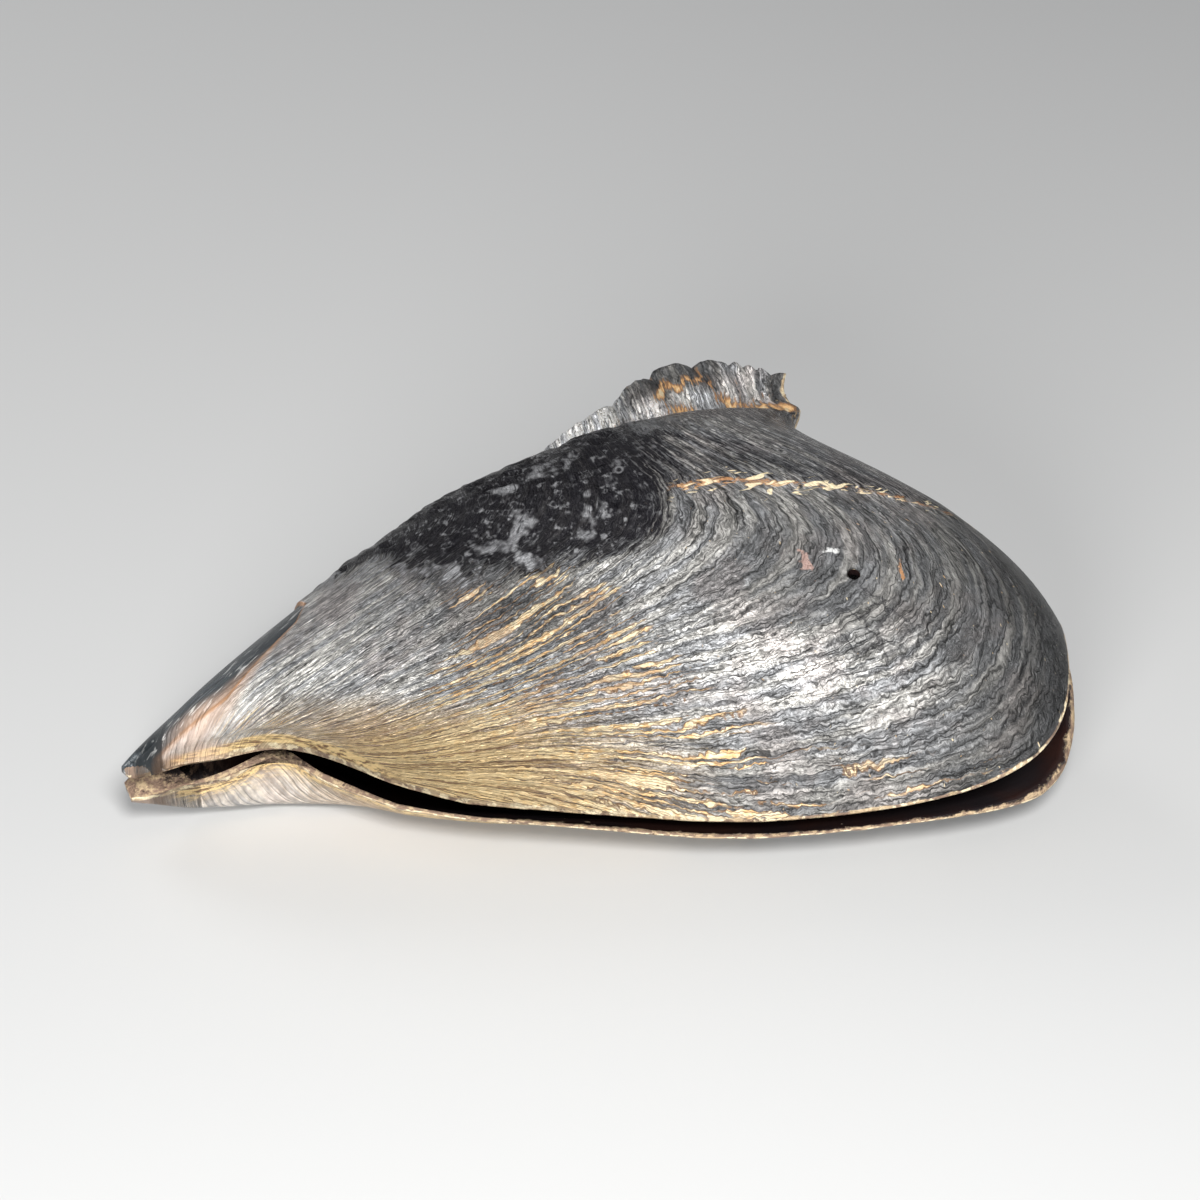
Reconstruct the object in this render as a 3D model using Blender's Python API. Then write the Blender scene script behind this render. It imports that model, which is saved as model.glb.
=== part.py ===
"""Pen shell: two valves that grew around the same beak, and the dried ligament that still joins them.

The shell is drawn lying on its seam: the beak at the origin, the belly edge along +X, the two valves
above and below the XY plane. An empty then tips it into the pose in which it rests on a table.
Lengths are in metres and angles in degrees unless a comment says otherwise.
"""

import bmesh
import bpy
import numpy as np
from mathutils import Euler

MM = 0.001

# Outline of a valve, seen square on, as directions and distances from the beak.
HIND_REACH = 232.5 * MM  # beak to the far end of the rear edge
CREST_REACH = 192.0 * MM  # beak to the rear edge below the crest
CREST_EXTRA = 10.8 * MM  # how much further the crest itself reaches
HIND_ANGLE, CREST_ANGLE = 8.2, 31.6  # directions between which the reach falls
HINGE_ANGLE = 43.7  # the straight back edge
HINGE_BOW, HINGE_BOW_TO = 5.95, 0.737  # how far it bows out near the beak, and up to which size
BEAK_BOW, BEAK_BOW_OVER = 10.0, 0.125  # a second, shorter bow at the beak itself
CREST_TURN, CREST_TURN_FROM = 7.2, 0.84  # how far the crest's corner is rounded off, and from which size
FOOT_ALONG_TO = 0.6  # the dome's foot runs along the back edge up to this size
FOOT_SET_IN, FOOT_SET_IN_OVER = 0.8, (0.0, 0.2)  # how far inside the back edge it runs
FOOT_TURN, FOOT_TURN_OVER = 10.5, (0.422, 1.083)  # how far it then turns away, and over which sizes
BELLY_ANGLE = -5.2  # the straight belly edge
BELLY_YOUNG, BELLY_YOUNG_OVER = 8.0, (0.043, 0.39)  # how much higher it lies in the young shell
BELLY_OLD, BELLY_OLD_OVER = 3.1, (0.566, 0.93)  # how much it rises again towards the hind corner
NOTCH_ANGLE = 13.0  # how far the notch for the byssus threads turns the belly edge inwards
NOTCH_IN, NOTCH_OUT = (0.01, 0.06), (0.113, 0.3)  # sizes over which the notch deepens and fades
CORNER_POWER = 13.4  # roundness of the corner between belly and rear edge: higher is sharper
WIDTH_GROWTH = 1.9  # a growth line's width grows as this power of its length

# Heights over the seam.
DOME_RISE = 61.3 * MM
DOME_ROOT, DOME_FALL, DOME_END = 0.537, 5.33, 0.55  # powers of its rise at the beak and its fall behind
SQUARE_OVER = (0.08, 0.6)  # sizes over which the cross-section turns from square to sloping
EDGE_THICKNESS = 1.7 * MM
WALL_SIDE = 2.0 * MM
WALL_TOP = 0.4 * MM  # on top of the edge's own thickness
SEAM_GAP = 0.8 * MM  # from the seam's middle to each valve
GAPE = 0.5  # how far each valve stands open about the back edge
BEAK_DROP = 4.0 * MM  # extra gap under the beak, where the lower valve has sagged away
LOWER_OVERLAP = 2.2 * MM  # how far the lower valve's belly edge stands out past the upper one
LOWER_HIND = 3.1 * MM  # the same at the rear edge

# The grid that both skins of a valve are drawn on.
BEAK_SIZE = 0.012  # the worn tip, as a share of the full size
HOLLOW_FROM = 0.07  # the beak is solid up to here
FLANGE_SHARE = 0.10  # share of a cross-section that the crest's flat flange takes
FLANGE_SOFT = 0.05  # how gently the flange turns up into the dome
ROUND_STEPS, GROWTH_STEPS = 42, 24

# A borehole left by a whelk, through the upper valve.
BORE_RADIUS = 1.45 * MM
BORE_AT = (175.3 * MM, 37.2 * MM)
BORE_DEPTH = 60.0 * MM
BORE_SIDES = 16

# The ligament lies in the gap along the back edge, from near the beak to the crest.
LIGAMENT_FROM, LIGAMENT_TO = 0.05, 0.66
LIGAMENT_WIDTH = 3.6 * MM
LIGAMENT_PROUD = 0.5 * MM
LIGAMENT_CLEAR = 0.32 * MM
LIGAMENT_STEPS = 24

# The pose at rest: the beak's place over the table, and the tilt that brings the weight over the dome.
REST_TILT = 24.4
BEAK_AT = (-116.7 * MM, -50.9 * MM, 19.1 * MM)


def fade(start, end, value):
    """0 before start, 1 after end, and an S-curve between them."""
    x = np.clip((value - start) / (end - start), 0.0, 1.0)
    return x * x * (3.0 - 2.0 * x)


def ramp(value):
    """A hinge function with its corner rounded: 0 below zero, value above it."""
    return 0.5 * (value + np.sqrt(value * value + FLANGE_SOFT**2))


def reach(angle):
    """Distance from the beak to the rear edge in a direction, falling from the hind corner to the crest."""
    return HIND_REACH - (HIND_REACH - CREST_REACH) * fade(HIND_ANGLE, CREST_ANGLE, angle)


def hinge_angle(size):
    """Direction of the back edge: straight, bowed out near the beak and rounded off at the crest's corner."""
    bow = HINGE_BOW * np.clip(1.0 - size / HINGE_BOW_TO, 0.0, 1.0) + BEAK_BOW * np.exp(-size / BEAK_BOW_OVER)
    corner = CREST_TURN * np.clip((size - CREST_TURN_FROM) / (1.0 - CREST_TURN_FROM), 0.0, 1.0) ** 2
    return HINGE_ANGLE + bow - corner


def foot_angle(size):
    """Direction of the line where the dome stands on its flange: along the back edge, then away from it."""
    along_back = hinge_angle(np.minimum(size, FOOT_ALONG_TO)) - FOOT_SET_IN * fade(*FOOT_SET_IN_OVER, size)
    return along_back - FOOT_TURN * fade(*FOOT_TURN_OVER, size)


def belly_angle(size):
    """Direction of the belly side of the dome."""
    young = BELLY_YOUNG * (1.0 - fade(*BELLY_YOUNG_OVER, size))
    return BELLY_ANGLE + young + BELLY_OLD * fade(*BELLY_OLD_OVER, size)


def notch_angle(size):
    """How far the belly edge is pulled in, as a bump a fifth of the way along it."""
    return NOTCH_ANGLE * (fade(*NOTCH_IN, size) - fade(*NOTCH_OUT, size))


def dome_height(size):
    """Height of the dome: a root curve that rises from the beak and falls to the rear edge."""
    return DOME_RISE * size**DOME_ROOT * (1.0 - np.minimum(size, 1.0) ** DOME_FALL) ** DOME_END


def section(across, size):
    """(share of the width, share of the height) of a cross-section from foot to belly, as one cubic Bezier.

    It leaves the flange upright, and meets the belly edge at a slope, or square near the beak.
    """
    square = 1.0 - fade(*SQUARE_OVER, size)
    weights = (3.0 * (1.0 - across) ** 2 * across, 3.0 * (1.0 - across) * across**2, across**3)
    along = weights[0] * (-0.01 - 0.03 * square) + weights[1] * (0.52 + 0.40 * square) + weights[2]
    up = weights[0] * (0.95 + 0.15 * square) + weights[1] * (1.30 - 0.10 * square)
    return along, up


def growth(around, age, smallest):
    """(size, place across) of a point on a growth line.

    A growth line is a superellipse in those two: it leaves the back edge, rounds the hind corner and runs
    back to the beak. Its width grows as nearly the square of its length, so a young shell is narrow.
    """
    power = 0.5 * CORNER_POWER
    turn = 0.5 * np.pi * around**power / (around**power + (1.0 - around) ** power)
    size = smallest + (1.0 - smallest) * age * np.abs(np.cos(turn)) ** (1.0 / power)
    return size, age**WIDTH_GROWTH * np.sin(turn) ** (1.0 / power)


def lay_out(size, across, flange, inset, rise, base):
    """Points from size and place across: directions and reach give X and Y, the section gives Z."""
    along, up = section(across, size)
    inset_angle = np.degrees(inset / (size * HIND_REACH + inset))
    foot = foot_angle(size) - inset_angle
    belly = belly_angle(size) + inset_angle
    edge = fade(0.72, 1.0, across)
    angle = foot - along * (foot - belly) + (hinge_angle(size) - foot) * flange + notch_angle(size) * edge
    distance = size * (reach(angle) - inset + CREST_EXTRA * flange)
    angle = np.radians(angle)
    return np.stack([distance * np.cos(angle), distance * np.sin(angle), rise * up + base], axis=-1)


def outer_skin(around, age):
    """Points of the outside, with how far across and how big each is."""
    size, share = growth(around, age, BEAK_SIZE)
    flange = ramp(FLANGE_SHARE - share) / ramp(FLANGE_SHARE)
    start, end = ramp(-FLANGE_SHARE), ramp(1.0 - FLANGE_SHARE)
    across = (ramp(share - FLANGE_SHARE) - start) / (end - start)
    points = lay_out(size, across, flange, 0.0, dome_height(size), SEAM_GAP + EDGE_THICKNESS)
    return points, size, share


def inner_skin(around, age):
    """Points of the hollow: the same dome, set in by the wall, with no flange."""
    size, share = growth(around, age, HOLLOW_FROM)
    height = dome_height(size)
    rise = height**2 / (height + WALL_TOP)
    return lay_out(size, share, 0.0, WALL_SIDE, rise, SEAM_GAP), size, share


def spread(points, size, share, lower):
    """Opens the valve about the back edge, and for the lower one mirrors it and moves its edges out."""
    hinge = np.radians(HINGE_ANGLE)
    from_hinge = np.abs(points[..., 0] * np.sin(hinge) - points[..., 1] * np.cos(hinge))
    points = points.copy()
    points[..., 2] += from_hinge * np.tan(np.radians(GAPE))
    if lower:
        points[..., 2] = -points[..., 2] - BEAK_DROP * (1.0 - fade(0.0, 0.45, size))
        points[..., 1] -= LOWER_OVERLAP * fade(0.1, 0.9, share) * (1.0 - 0.7 * fade(0.6, 1.0, size))
        points[..., 0] += LOWER_HIND * fade(0.6, 1.0, size) * (0.2 + 0.8 * fade(0.05, 0.4, share))
    return points


def to_table(points):
    """Points of the shell's own frame, tipped and lifted as the empty does it."""
    tilt = np.radians(REST_TILT)
    turned = points.copy()
    turned[..., 1] = points[..., 1] * np.cos(tilt) - points[..., 2] * np.sin(tilt)
    turned[..., 2] = points[..., 1] * np.sin(tilt) + points[..., 2] * np.cos(tilt)
    return turned + np.array(BEAK_AT)


def from_table(points):
    """The inverse of to_table."""
    tilt = np.radians(-REST_TILT)
    moved = points - np.array(BEAK_AT)
    turned = moved.copy()
    turned[..., 1] = moved[..., 1] * np.cos(tilt) - moved[..., 2] * np.sin(tilt)
    turned[..., 2] = moved[..., 1] * np.sin(tilt) + moved[..., 2] * np.cos(tilt)
    return turned


def worn_flat(points):
    """Flattens what would reach below the table: the small worn spot that the shell rests on."""
    on_table = to_table(points)
    on_table[..., 2] = np.maximum(on_table[..., 2], 0.0)
    return from_table(on_table)


def skin_points(skin, lower):
    """The grid of one skin: rows of one age, from the back edge round to the beak."""
    age = np.linspace(0.0, 1.0, GROWTH_STEPS + 1)[:, None]
    around = np.linspace(0.0, 1.0, ROUND_STEPS + 1)[None, :]
    points, size, share = skin(around + 0.0 * age, age + 0.0 * around)
    return spread(points, size, share, lower)


def rim_of(grid):
    """The loop of places round a grid, starting at its pole: back edge, growing edge, beak."""
    last = ROUND_STEPS
    back = [(row, 0) for row in range(1, GROWTH_STEPS + 1)]
    growing = [(GROWTH_STEPS, column) for column in range(1, last + 1)]
    beak = [(row, last) for row in range(GROWTH_STEPS - 1, 0, -1)]
    return [grid[0][0]] + [grid[row][column] for row, column in back + growing + beak]


def add_skin(mesh, points):
    """Adds one skin's faces to a bmesh: a fan round the pole, then quads. Returns its vertices by row."""
    pole = mesh.verts.new(points[0, 0])
    rows = [[pole] * (ROUND_STEPS + 1)]
    for row in points[1:]:
        rows.append([mesh.verts.new(point) for point in row])
    for near, far in zip(rows, rows[1:]):
        for column in range(ROUND_STEPS):
            corners = (near[column], near[column + 1], far[column + 1], far[column])
            mesh.faces.new(list(dict.fromkeys(corners)))
    return rows


def join_loops(mesh, first, second):
    """A band of quads between two loops of as many vertices."""
    count = len(first)
    for place in range(count):
        following = (place + 1) % count
        mesh.faces.new((first[place], first[following], second[following], second[place]))


def valve_mesh(name, lower):
    """One valve as a closed solid: outside, a narrow edge, the flat seam face and the hollow."""
    mesh = bmesh.new()
    outside = skin_points(outer_skin, lower)
    if lower:
        outside = worn_flat(outside)
    inside = skin_points(inner_skin, lower)
    outer_rows = add_skin(mesh, outside)
    inner_rows = add_skin(mesh, inside)
    outer_rim = rim_of(outer_rows)
    towards_seam = EDGE_THICKNESS if lower else -EDGE_THICKNESS
    seam_rim = [mesh.verts.new((v.co.x, v.co.y, v.co.z + towards_seam)) for v in outer_rim]
    join_loops(mesh, outer_rim, seam_rim)
    join_loops(mesh, seam_rim, rim_of(inner_rows))
    bmesh.ops.recalc_face_normals(mesh, faces=mesh.faces)
    bmesh.ops.triangulate(mesh, faces=mesh.faces)
    return finish_mesh(mesh, name)


def finish_mesh(mesh, name):
    data = bpy.data.meshes.new(name)
    mesh.to_mesh(data)
    mesh.free()
    data.shade_smooth()
    return data


def ligament_mesh():
    """The dried band: an eight-sided section carried along the back edge, as tall as the gap there."""
    mesh = bmesh.new()
    rings = []
    for place in np.linspace(LIGAMENT_FROM, LIGAMENT_TO, LIGAMENT_STEPS + 1):
        size = np.array([place])
        edge = lay_out(size, 0.0 * size, np.ones(1), 0.0, 0.0 * size, 0.0)[0]
        outward = np.array([-edge[1], edge[0], 0.0]) / np.hypot(edge[0], edge[1])
        top = SEAM_GAP - LIGAMENT_CLEAR
        bottom = -top - BEAK_DROP * float(1.0 - fade(0.0, 0.45, place))
        middle, half = 0.5 * (top + bottom), 0.5 * (top - bottom)
        ring = []
        for corner in range(8):
            turn = (corner + 0.5) * 0.25 * np.pi
            side = 0.5 * LIGAMENT_WIDTH * np.clip(1.3 * np.cos(turn), -1.0, 1.0)
            point = edge + outward * (side + LIGAMENT_PROUD - 0.5 * LIGAMENT_WIDTH)
            point[2] = middle + half * np.clip(1.3 * np.sin(turn), -1.0, 1.0)
            ring.append(mesh.verts.new(point))
        rings.append(ring)
    for near, far in zip(rings, rings[1:]):
        join_loops(mesh, near, far)
    mesh.faces.new(rings[0])
    mesh.faces.new(rings[-1])
    bmesh.ops.recalc_face_normals(mesh, faces=mesh.faces)
    bmesh.ops.triangulate(mesh, faces=mesh.faces)
    return finish_mesh(mesh, "ligament")


def material(name, colour, roughness):
    made = bpy.data.materials.new(name)
    made.use_nodes = True
    shader = made.node_tree.nodes["Principled BSDF"]
    shader.inputs["Base Color"].default_value = (*colour, 1.0)
    shader.inputs["Roughness"].default_value = roughness
    shader.inputs["Metallic"].default_value = 0.0
    return made


def add_piece(data, finish, pose):
    piece = bpy.data.objects.new(data.name, data)
    bpy.context.scene.collection.objects.link(piece)
    piece.data.materials.append(finish)
    piece.parent = pose
    return piece


def bore(piece, pose):
    """Cuts the borehole with an upright cylinder through the dome's wall."""
    mesh = bmesh.new()
    bmesh.ops.create_cone(
        mesh,
        cap_ends=True,
        segments=BORE_SIDES,
        radius1=BORE_RADIUS,
        radius2=BORE_RADIUS,
        depth=BORE_DEPTH,
    )
    cutter = bpy.data.objects.new("bore_cutter", finish_mesh(mesh, "bore_cutter"))
    bpy.context.scene.collection.objects.link(cutter)
    cutter.parent = pose
    cutter.location = (*BORE_AT, 0.5 * BORE_DEPTH)
    cutter.hide_render = True
    cutter.display_type = "WIRE"
    cut = piece.modifiers.new("bore", "BOOLEAN")
    cut.operation = "DIFFERENCE"
    cut.solver = "EXACT"
    cut.object = cutter


def rest_pose():
    pose = bpy.data.objects.new("rest_pose", None)
    bpy.context.scene.collection.objects.link(pose)
    pose.rotation_euler = Euler((np.radians(REST_TILT), 0.0, 0.0))
    pose.location = BEAK_AT
    return pose


def main():
    for old in list(bpy.data.objects):
        bpy.data.objects.remove(old)
    pose = rest_pose()
    upper_finish = material("shell_grey", (0.13, 0.12, 0.115), 0.4)
    lower_finish = material("shell_ochre", (0.2, 0.16, 0.115), 0.45)
    horn = material("dried_horn", (0.03, 0.02, 0.015), 0.5)
    upper = add_piece(valve_mesh("left_valve", False), upper_finish, pose)
    bore(upper, pose)
    add_piece(valve_mesh("right_valve", True), lower_finish, pose)
    add_piece(ligament_mesh(), horn, pose)


if __name__ == "__main__":
    main()
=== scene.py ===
"""Looks of the pen shell: two weathered valves with their growth relief, the dried ligament and the stage.

The valves are drawn as the solid model draws them, lying on their seam with the beak at the origin, the
belly edge along +X and the upper valve above the XY plane, and are then tipped into the pose at rest.
Lengths are in metres and angles in degrees unless a comment says otherwise.
"""

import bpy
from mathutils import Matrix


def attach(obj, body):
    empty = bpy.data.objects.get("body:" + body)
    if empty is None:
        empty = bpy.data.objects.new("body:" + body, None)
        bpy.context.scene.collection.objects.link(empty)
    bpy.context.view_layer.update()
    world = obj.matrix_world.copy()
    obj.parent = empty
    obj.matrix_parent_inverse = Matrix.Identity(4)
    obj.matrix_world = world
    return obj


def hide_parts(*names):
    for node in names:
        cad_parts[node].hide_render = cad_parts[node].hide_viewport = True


bl_info = {
    "name": "Pen shell looks",
    "version": (1, 0, 0),
    "blender": (4, 5, 0),
    "location": "3D View > Sidebar > Pen shell",
    "description": "Builds the weathered valves and ligament of a pen shell, and a plain stage",
    "category": "Object",
}

import bmesh
import bpy
import numpy as np
from mathutils import Vector

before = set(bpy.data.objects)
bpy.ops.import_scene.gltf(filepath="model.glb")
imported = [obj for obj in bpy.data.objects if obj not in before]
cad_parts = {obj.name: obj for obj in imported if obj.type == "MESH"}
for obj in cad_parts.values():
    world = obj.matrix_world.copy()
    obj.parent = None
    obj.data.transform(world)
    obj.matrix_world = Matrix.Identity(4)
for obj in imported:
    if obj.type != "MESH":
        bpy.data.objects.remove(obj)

MM = 0.001

# Outline of a valve, seen square on, as directions and distances from the beak.
HIND_REACH = 232.5 * MM  # beak to the far end of the rear edge
CREST_REACH = 192.0 * MM  # beak to the rear edge below the crest
CREST_EXTRA = 10.8 * MM  # how much further the crest itself reaches
HIND_ANGLE, CREST_ANGLE = 8.2, 31.6  # directions between which the reach falls
HINGE_ANGLE = 43.7  # the straight back edge
HINGE_BOW, HINGE_BOW_TO = 5.95, 0.737  # how far it bows out near the beak, and up to which size
BEAK_BOW, BEAK_BOW_OVER = 10.0, 0.125  # a second, shorter bow at the beak itself
CREST_TURN, CREST_TURN_FROM = 7.2, 0.84  # how far the crest's corner is rounded off, and from which size
FOOT_ALONG_TO = 0.6  # the dome's foot runs along the back edge up to this size
FOOT_SET_IN, FOOT_SET_IN_OVER = 0.8, (0.0, 0.2)  # how far inside the back edge it runs
FOOT_TURN, FOOT_TURN_OVER = 10.5, (0.422, 1.083)  # how far it then turns away, and over which sizes
BELLY_ANGLE = -5.2  # the straight belly edge
BELLY_YOUNG, BELLY_YOUNG_OVER = 8.0, (0.043, 0.39)  # how much higher it lies in the young shell
BELLY_OLD, BELLY_OLD_OVER = 3.1, (0.566, 0.93)  # how much it rises again towards the hind corner
NOTCH_ANGLE = 13.0  # how far the notch for the byssus threads turns the belly edge inwards
NOTCH_IN, NOTCH_OUT = (0.01, 0.06), (0.113, 0.3)  # sizes over which the notch deepens and fades
CORNER_POWER = 13.4  # roundness of the corner between belly and rear edge: higher is sharper
YOUNG_CORNER_POWER = 8.0  # the same for the growth lines of the young shell
WIDTH_GROWTH_YOUNG = 0.88  # a young growth line's width grows as this power of its length
WIDTH_GROWTH_MORE = 0.25  # and an old one's as a power that much higher
NOTCH_SIZE = 0.24  # where a growth line ends on the belly edge, as a share of its own length
DRIFT_LATE_OLD, DRIFT_LATE_MORE = 1.8, 6.0  # powers that delay its drift to the belly edge

# Heights over the seam.
DOME_RISE = 61.3 * MM
DOME_ROOT, DOME_FALL, DOME_END = 0.537, 5.33, 0.55  # powers of its rise at the beak and its fall behind
SQUARE_OVER = (0.08, 0.6)  # sizes over which the cross-section turns from square to sloping
DOME_BASE = 1.7 * MM  # the dome's own base over the edge of the seam
WALL_SIDE = 2.0 * MM
WALL_TOP = 0.4 * MM  # on top of the base's own thickness
SEAM_GAP = 0.8 * MM  # from the seam's middle to each valve
GAPE = 0.5  # how far each valve stands open about the back edge
BEAK_DROP = 4.0 * MM  # extra gap under the beak, where the lower valve has sagged away
LOWER_OVERLAP = 2.2 * MM  # how far the lower valve's belly edge stands out past the upper one
LOWER_HIND = 3.1 * MM  # the same at the rear edge
BEAK_SIZE = 0.012  # the worn tip, as a share of the full size
HOLLOW_FROM = 0.07  # the beak is solid up to here
FLANGE_SHARE = 0.10  # share of a cross-section that the crest's flat flange takes
FLANGE_SOFT = 0.05  # how gently the flange turns up into the dome
REST_TILT = 24.4
BEAK_AT = (-116.7 * MM, -50.9 * MM, 19.1 * MM)

# The grids of the two skins. The rim of the outer one has four times the places of the inner one's.
OUTER_ROWS, OUTER_COLUMNS = 432, 208
STITCH = 4
AGE_CROWDING = 0.35  # how much closer together the rows are at the growing edge than at the beak
INNER_ROWS, INNER_COLUMNS = OUTER_ROWS // STITCH, OUTER_COLUMNS // STITCH

# The growth map, and the beak's map, whose lines the finishes follow.
LEAN, LEAN_BEAK = 1.5, 1.3  # how far they lean back over the young shell, and how much further at the beak
LEAN_ABOUT = 20.0  # millimetres across the shell at which they keep their place
MAP_UNIT = 0.1  # one unit of either map
BEAK_LINES_RISE = 40.0  # how steeply the lines of the beak's map rise
WAVES = (26.0, 34.0)  # waves to one such unit, along and across the lines
WAVE_HEIGHT = 0.018

# The borehole that a whelk left in the upper valve.
BORE_RADIUS = 1.45 * MM
BORE_AT = (175.3 * MM, 37.2 * MM)
BORE_OVAL = 0.8  # its width across the shell, as a share of that along it
BORE_SIDES = 40

# Places on the upper valve, in millimetres along and across it from the beak.
CHIP_LINE = ((8, 1), (25, 11), (41, 29), (43, 36))  # where the worn strip of the beak ends
CREASE = ((122, 55), (134, 58), (144, 60), (157, 60), (172, 61), (200, 61))
DARK_BORDER = ((20, 52), (40, 42), (62, 43), (74, 36), (91, 37), (124, 39), (200, 44))
OCHRE_TOP = ((5, 4), (30, 7), (52, 3), (68, 6), (86, 25), (105, 33), (122, 28), (140, 12), (165, 4), (228, 3))
OCHRE_PATCHES = ((0.62, (86, 31), (9, 2.5)), (0.62, (101, 35), (7, 2.5)), (0.62, (113, 31), (6, 2.0)))
BARE_TONE = 0.29  # how bright the bare grey shell is, as a share of white
TONE_PATCHES = (  # strength, middle and widths of patches that are added to it
    (0.06, (72, 16), (34, 16)),
    # painted highlight: the next patch brightens the flank below the borehole where the sheen falls
    (0.24, (158, 18), (26, 10)),
    (-0.08, (140, 50), (12, 10)),
    (0.08, (122, 36), (20, 8)),
    (0.10, (78, 4), (40, 12)),
)
TONE_SHADES = (  # the same for patches that brighten or darken what is there, one group after the other
    ((0.25, (62, 5), (30, 12)), (-0.60, (98, 27), (26, 11))),
    ((0.55, (174, 40), (26, 14)), (0.75, (205, 16), (20, 22))),
    ((0.70, (148, 76), (30, 9)), (0.25, (150, -4), (40, 9))),
)
SPOTS = (  # middle, widths, lean and colour of single marks
    ((164.0, 39.0), (1.5, 3.4), 12.0, "pink"),
    ((187.0, 39.0), (0.6, 3.2), 8.0, "rust"),
    ((170.5, 42.5), (3.6, 0.8), 10.0, "white"),
    ((28.0, 28.0), (0.7, 0.6), 0.0, "white"),
    ((207.0, 62.0), (3.0, 1.2), -30.0, "rust"),
)
RINGED_PIT = ((119.0, 63.0), (1.1, 1.0))
DARK_PIT = ((115.0, 65.0), (1.0, 0.8))
CRACKS = ((180.0, 26.0), (11.0, 12.0))
GROOVES = (  # ages at which the crest is furrowed, at its free edge and at its base, and the furrow's width
    (0.680, 0.690, 0.010),
    (0.798, 0.805, 0.011),
    (0.862, 0.885, 0.008),
    (0.915, 0.948, 0.008),
    (0.952, 0.962, 0.004),
    (0.965, 0.973, 0.004),
    (0.976, 0.982, 0.004),
    (0.988, 0.990, 0.005),
)


def fade(start, end, value):
    """0 before start, 1 after end, and an S-curve between them."""
    x = np.clip((value - start) / (end - start), 0.0, 1.0)
    return x * x * (3.0 - 2.0 * x)


def hump(middle, width, value):
    """A bell curve: 1 at the middle, and a third of that one width away."""
    return np.exp(-(((value - middle) / width) ** 2))


def patch(x, y, middle, widths):
    """A soft-edged oval patch: the product of two bell curves."""
    return hump(middle[0], widths[0], x) * hump(middle[1], widths[1], y)


def patches(x, y, places):
    """The sum of several patches, each times its strength."""
    return sum(strength * patch(x, y, middle, widths) for strength, middle, widths in places)


def scatter(column, row, seed):
    """A number from 0 to 1 for each whole-number place: what is left of a large sine after its whole part."""
    value = np.sin(column * 127.1 + row * 311.7 + seed * 74.7) * 43758.5453
    return value - np.floor(value)


def noise(x, y, seed):
    """Smooth noise from 0 to 1: the numbers at the corners of each unit cell, blended with S-curves."""
    column, row = np.floor(x), np.floor(y)
    along, up = x - column, y - row
    along = along * along * (3.0 - 2.0 * along)
    up = up * up * (3.0 - 2.0 * up)
    low = scatter(column, row, seed) * (1.0 - along) + scatter(column + 1, row, seed) * along
    high = scatter(column, row + 1, seed) * (1.0 - along) + scatter(column + 1, row + 1, seed) * along
    return low * (1.0 - up) + high * up


def rough(x, y, seed, layers=4):
    """Layers of noise, each twice as fine and half as strong as the one before, scaled back to 0 to 1."""
    total, weight = 0.0, 0.0
    for layer in range(layers):
        total = total + noise(x * 2.0**layer, y * 2.0**layer, seed + layer) * 0.5**layer
        weight += 0.5**layer
    return total / weight


def craters(x, y, seed):
    """Distance to the nearest of points scattered one to each unit cell."""
    column, row = np.floor(x), np.floor(y)
    nearest = np.full(x.shape, 9.0)
    for step_x in (-1, 0, 1):
        for step_y in (-1, 0, 1):
            place_x = column + step_x + scatter(column + step_x, row + step_y, seed)
            place_y = row + step_y + scatter(column + step_x, row + step_y, seed + 1)
            nearest = np.minimum(nearest, np.hypot(x - place_x, y - place_y))
    return nearest


def distance_to(x, y, route):
    """Distance in the plane from each place to a line through a few points."""
    nearest = np.full(np.shape(x), 1e9)
    for (ax, ay), (bx, by) in zip(route, route[1:]):
        length = (bx - ax) ** 2 + (by - ay) ** 2
        along = np.clip(((x - ax) * (bx - ax) + (y - ay) * (by - ay)) / length, 0.0, 1.0)
        nearest = np.minimum(nearest, np.hypot(x - ax - along * (bx - ax), y - ay - along * (by - ay)))
    return nearest


def height_of(route, x):
    """The line through a few points, read off at x."""
    return np.interp(x, [place[0] for place in route], [place[1] for place in route])


def side_of(x, y, route):
    """Distance to a line in centimetres, at most 1: above zero on its crest side, below on its belly side."""
    side = np.where(y > height_of(route, x), 1.0, -1.0)
    return np.clip(distance_to(x, y, route) * side / 10.0, -1.0, 1.0)


def ramp(value):
    """A hinge function with its corner rounded: 0 below zero, value above it."""
    return 0.5 * (value + np.sqrt(value * value + FLANGE_SOFT**2))


def reach(angle):
    """Distance from the beak to the rear edge in a direction, falling from the hind corner to the crest."""
    return HIND_REACH - (HIND_REACH - CREST_REACH) * fade(HIND_ANGLE, CREST_ANGLE, angle)


def hinge_angle(size):
    """Direction of the back edge: straight, bowed out near the beak and rounded off at the crest's corner."""
    bow = HINGE_BOW * np.clip(1.0 - size / HINGE_BOW_TO, 0.0, 1.0) + BEAK_BOW * np.exp(-size / BEAK_BOW_OVER)
    corner = CREST_TURN * np.clip((size - CREST_TURN_FROM) / (1.0 - CREST_TURN_FROM), 0.0, 1.0) ** 2
    return HINGE_ANGLE + bow - corner


def foot_angle(size):
    """Direction of the line where the dome stands on its flange: along the back edge, then away from it."""
    along_back = hinge_angle(np.minimum(size, FOOT_ALONG_TO)) - FOOT_SET_IN * fade(*FOOT_SET_IN_OVER, size)
    return along_back - FOOT_TURN * fade(*FOOT_TURN_OVER, size)


def belly_angle(size):
    """Direction of the belly side of the dome."""
    young = BELLY_YOUNG * (1.0 - fade(*BELLY_YOUNG_OVER, size))
    return BELLY_ANGLE + young + BELLY_OLD * fade(*BELLY_OLD_OVER, size)


def notch_angle(size):
    """How far the belly edge is pulled in, as a bump a fifth of the way along it."""
    return NOTCH_ANGLE * (fade(*NOTCH_IN, size) - fade(*NOTCH_OUT, size))


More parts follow.
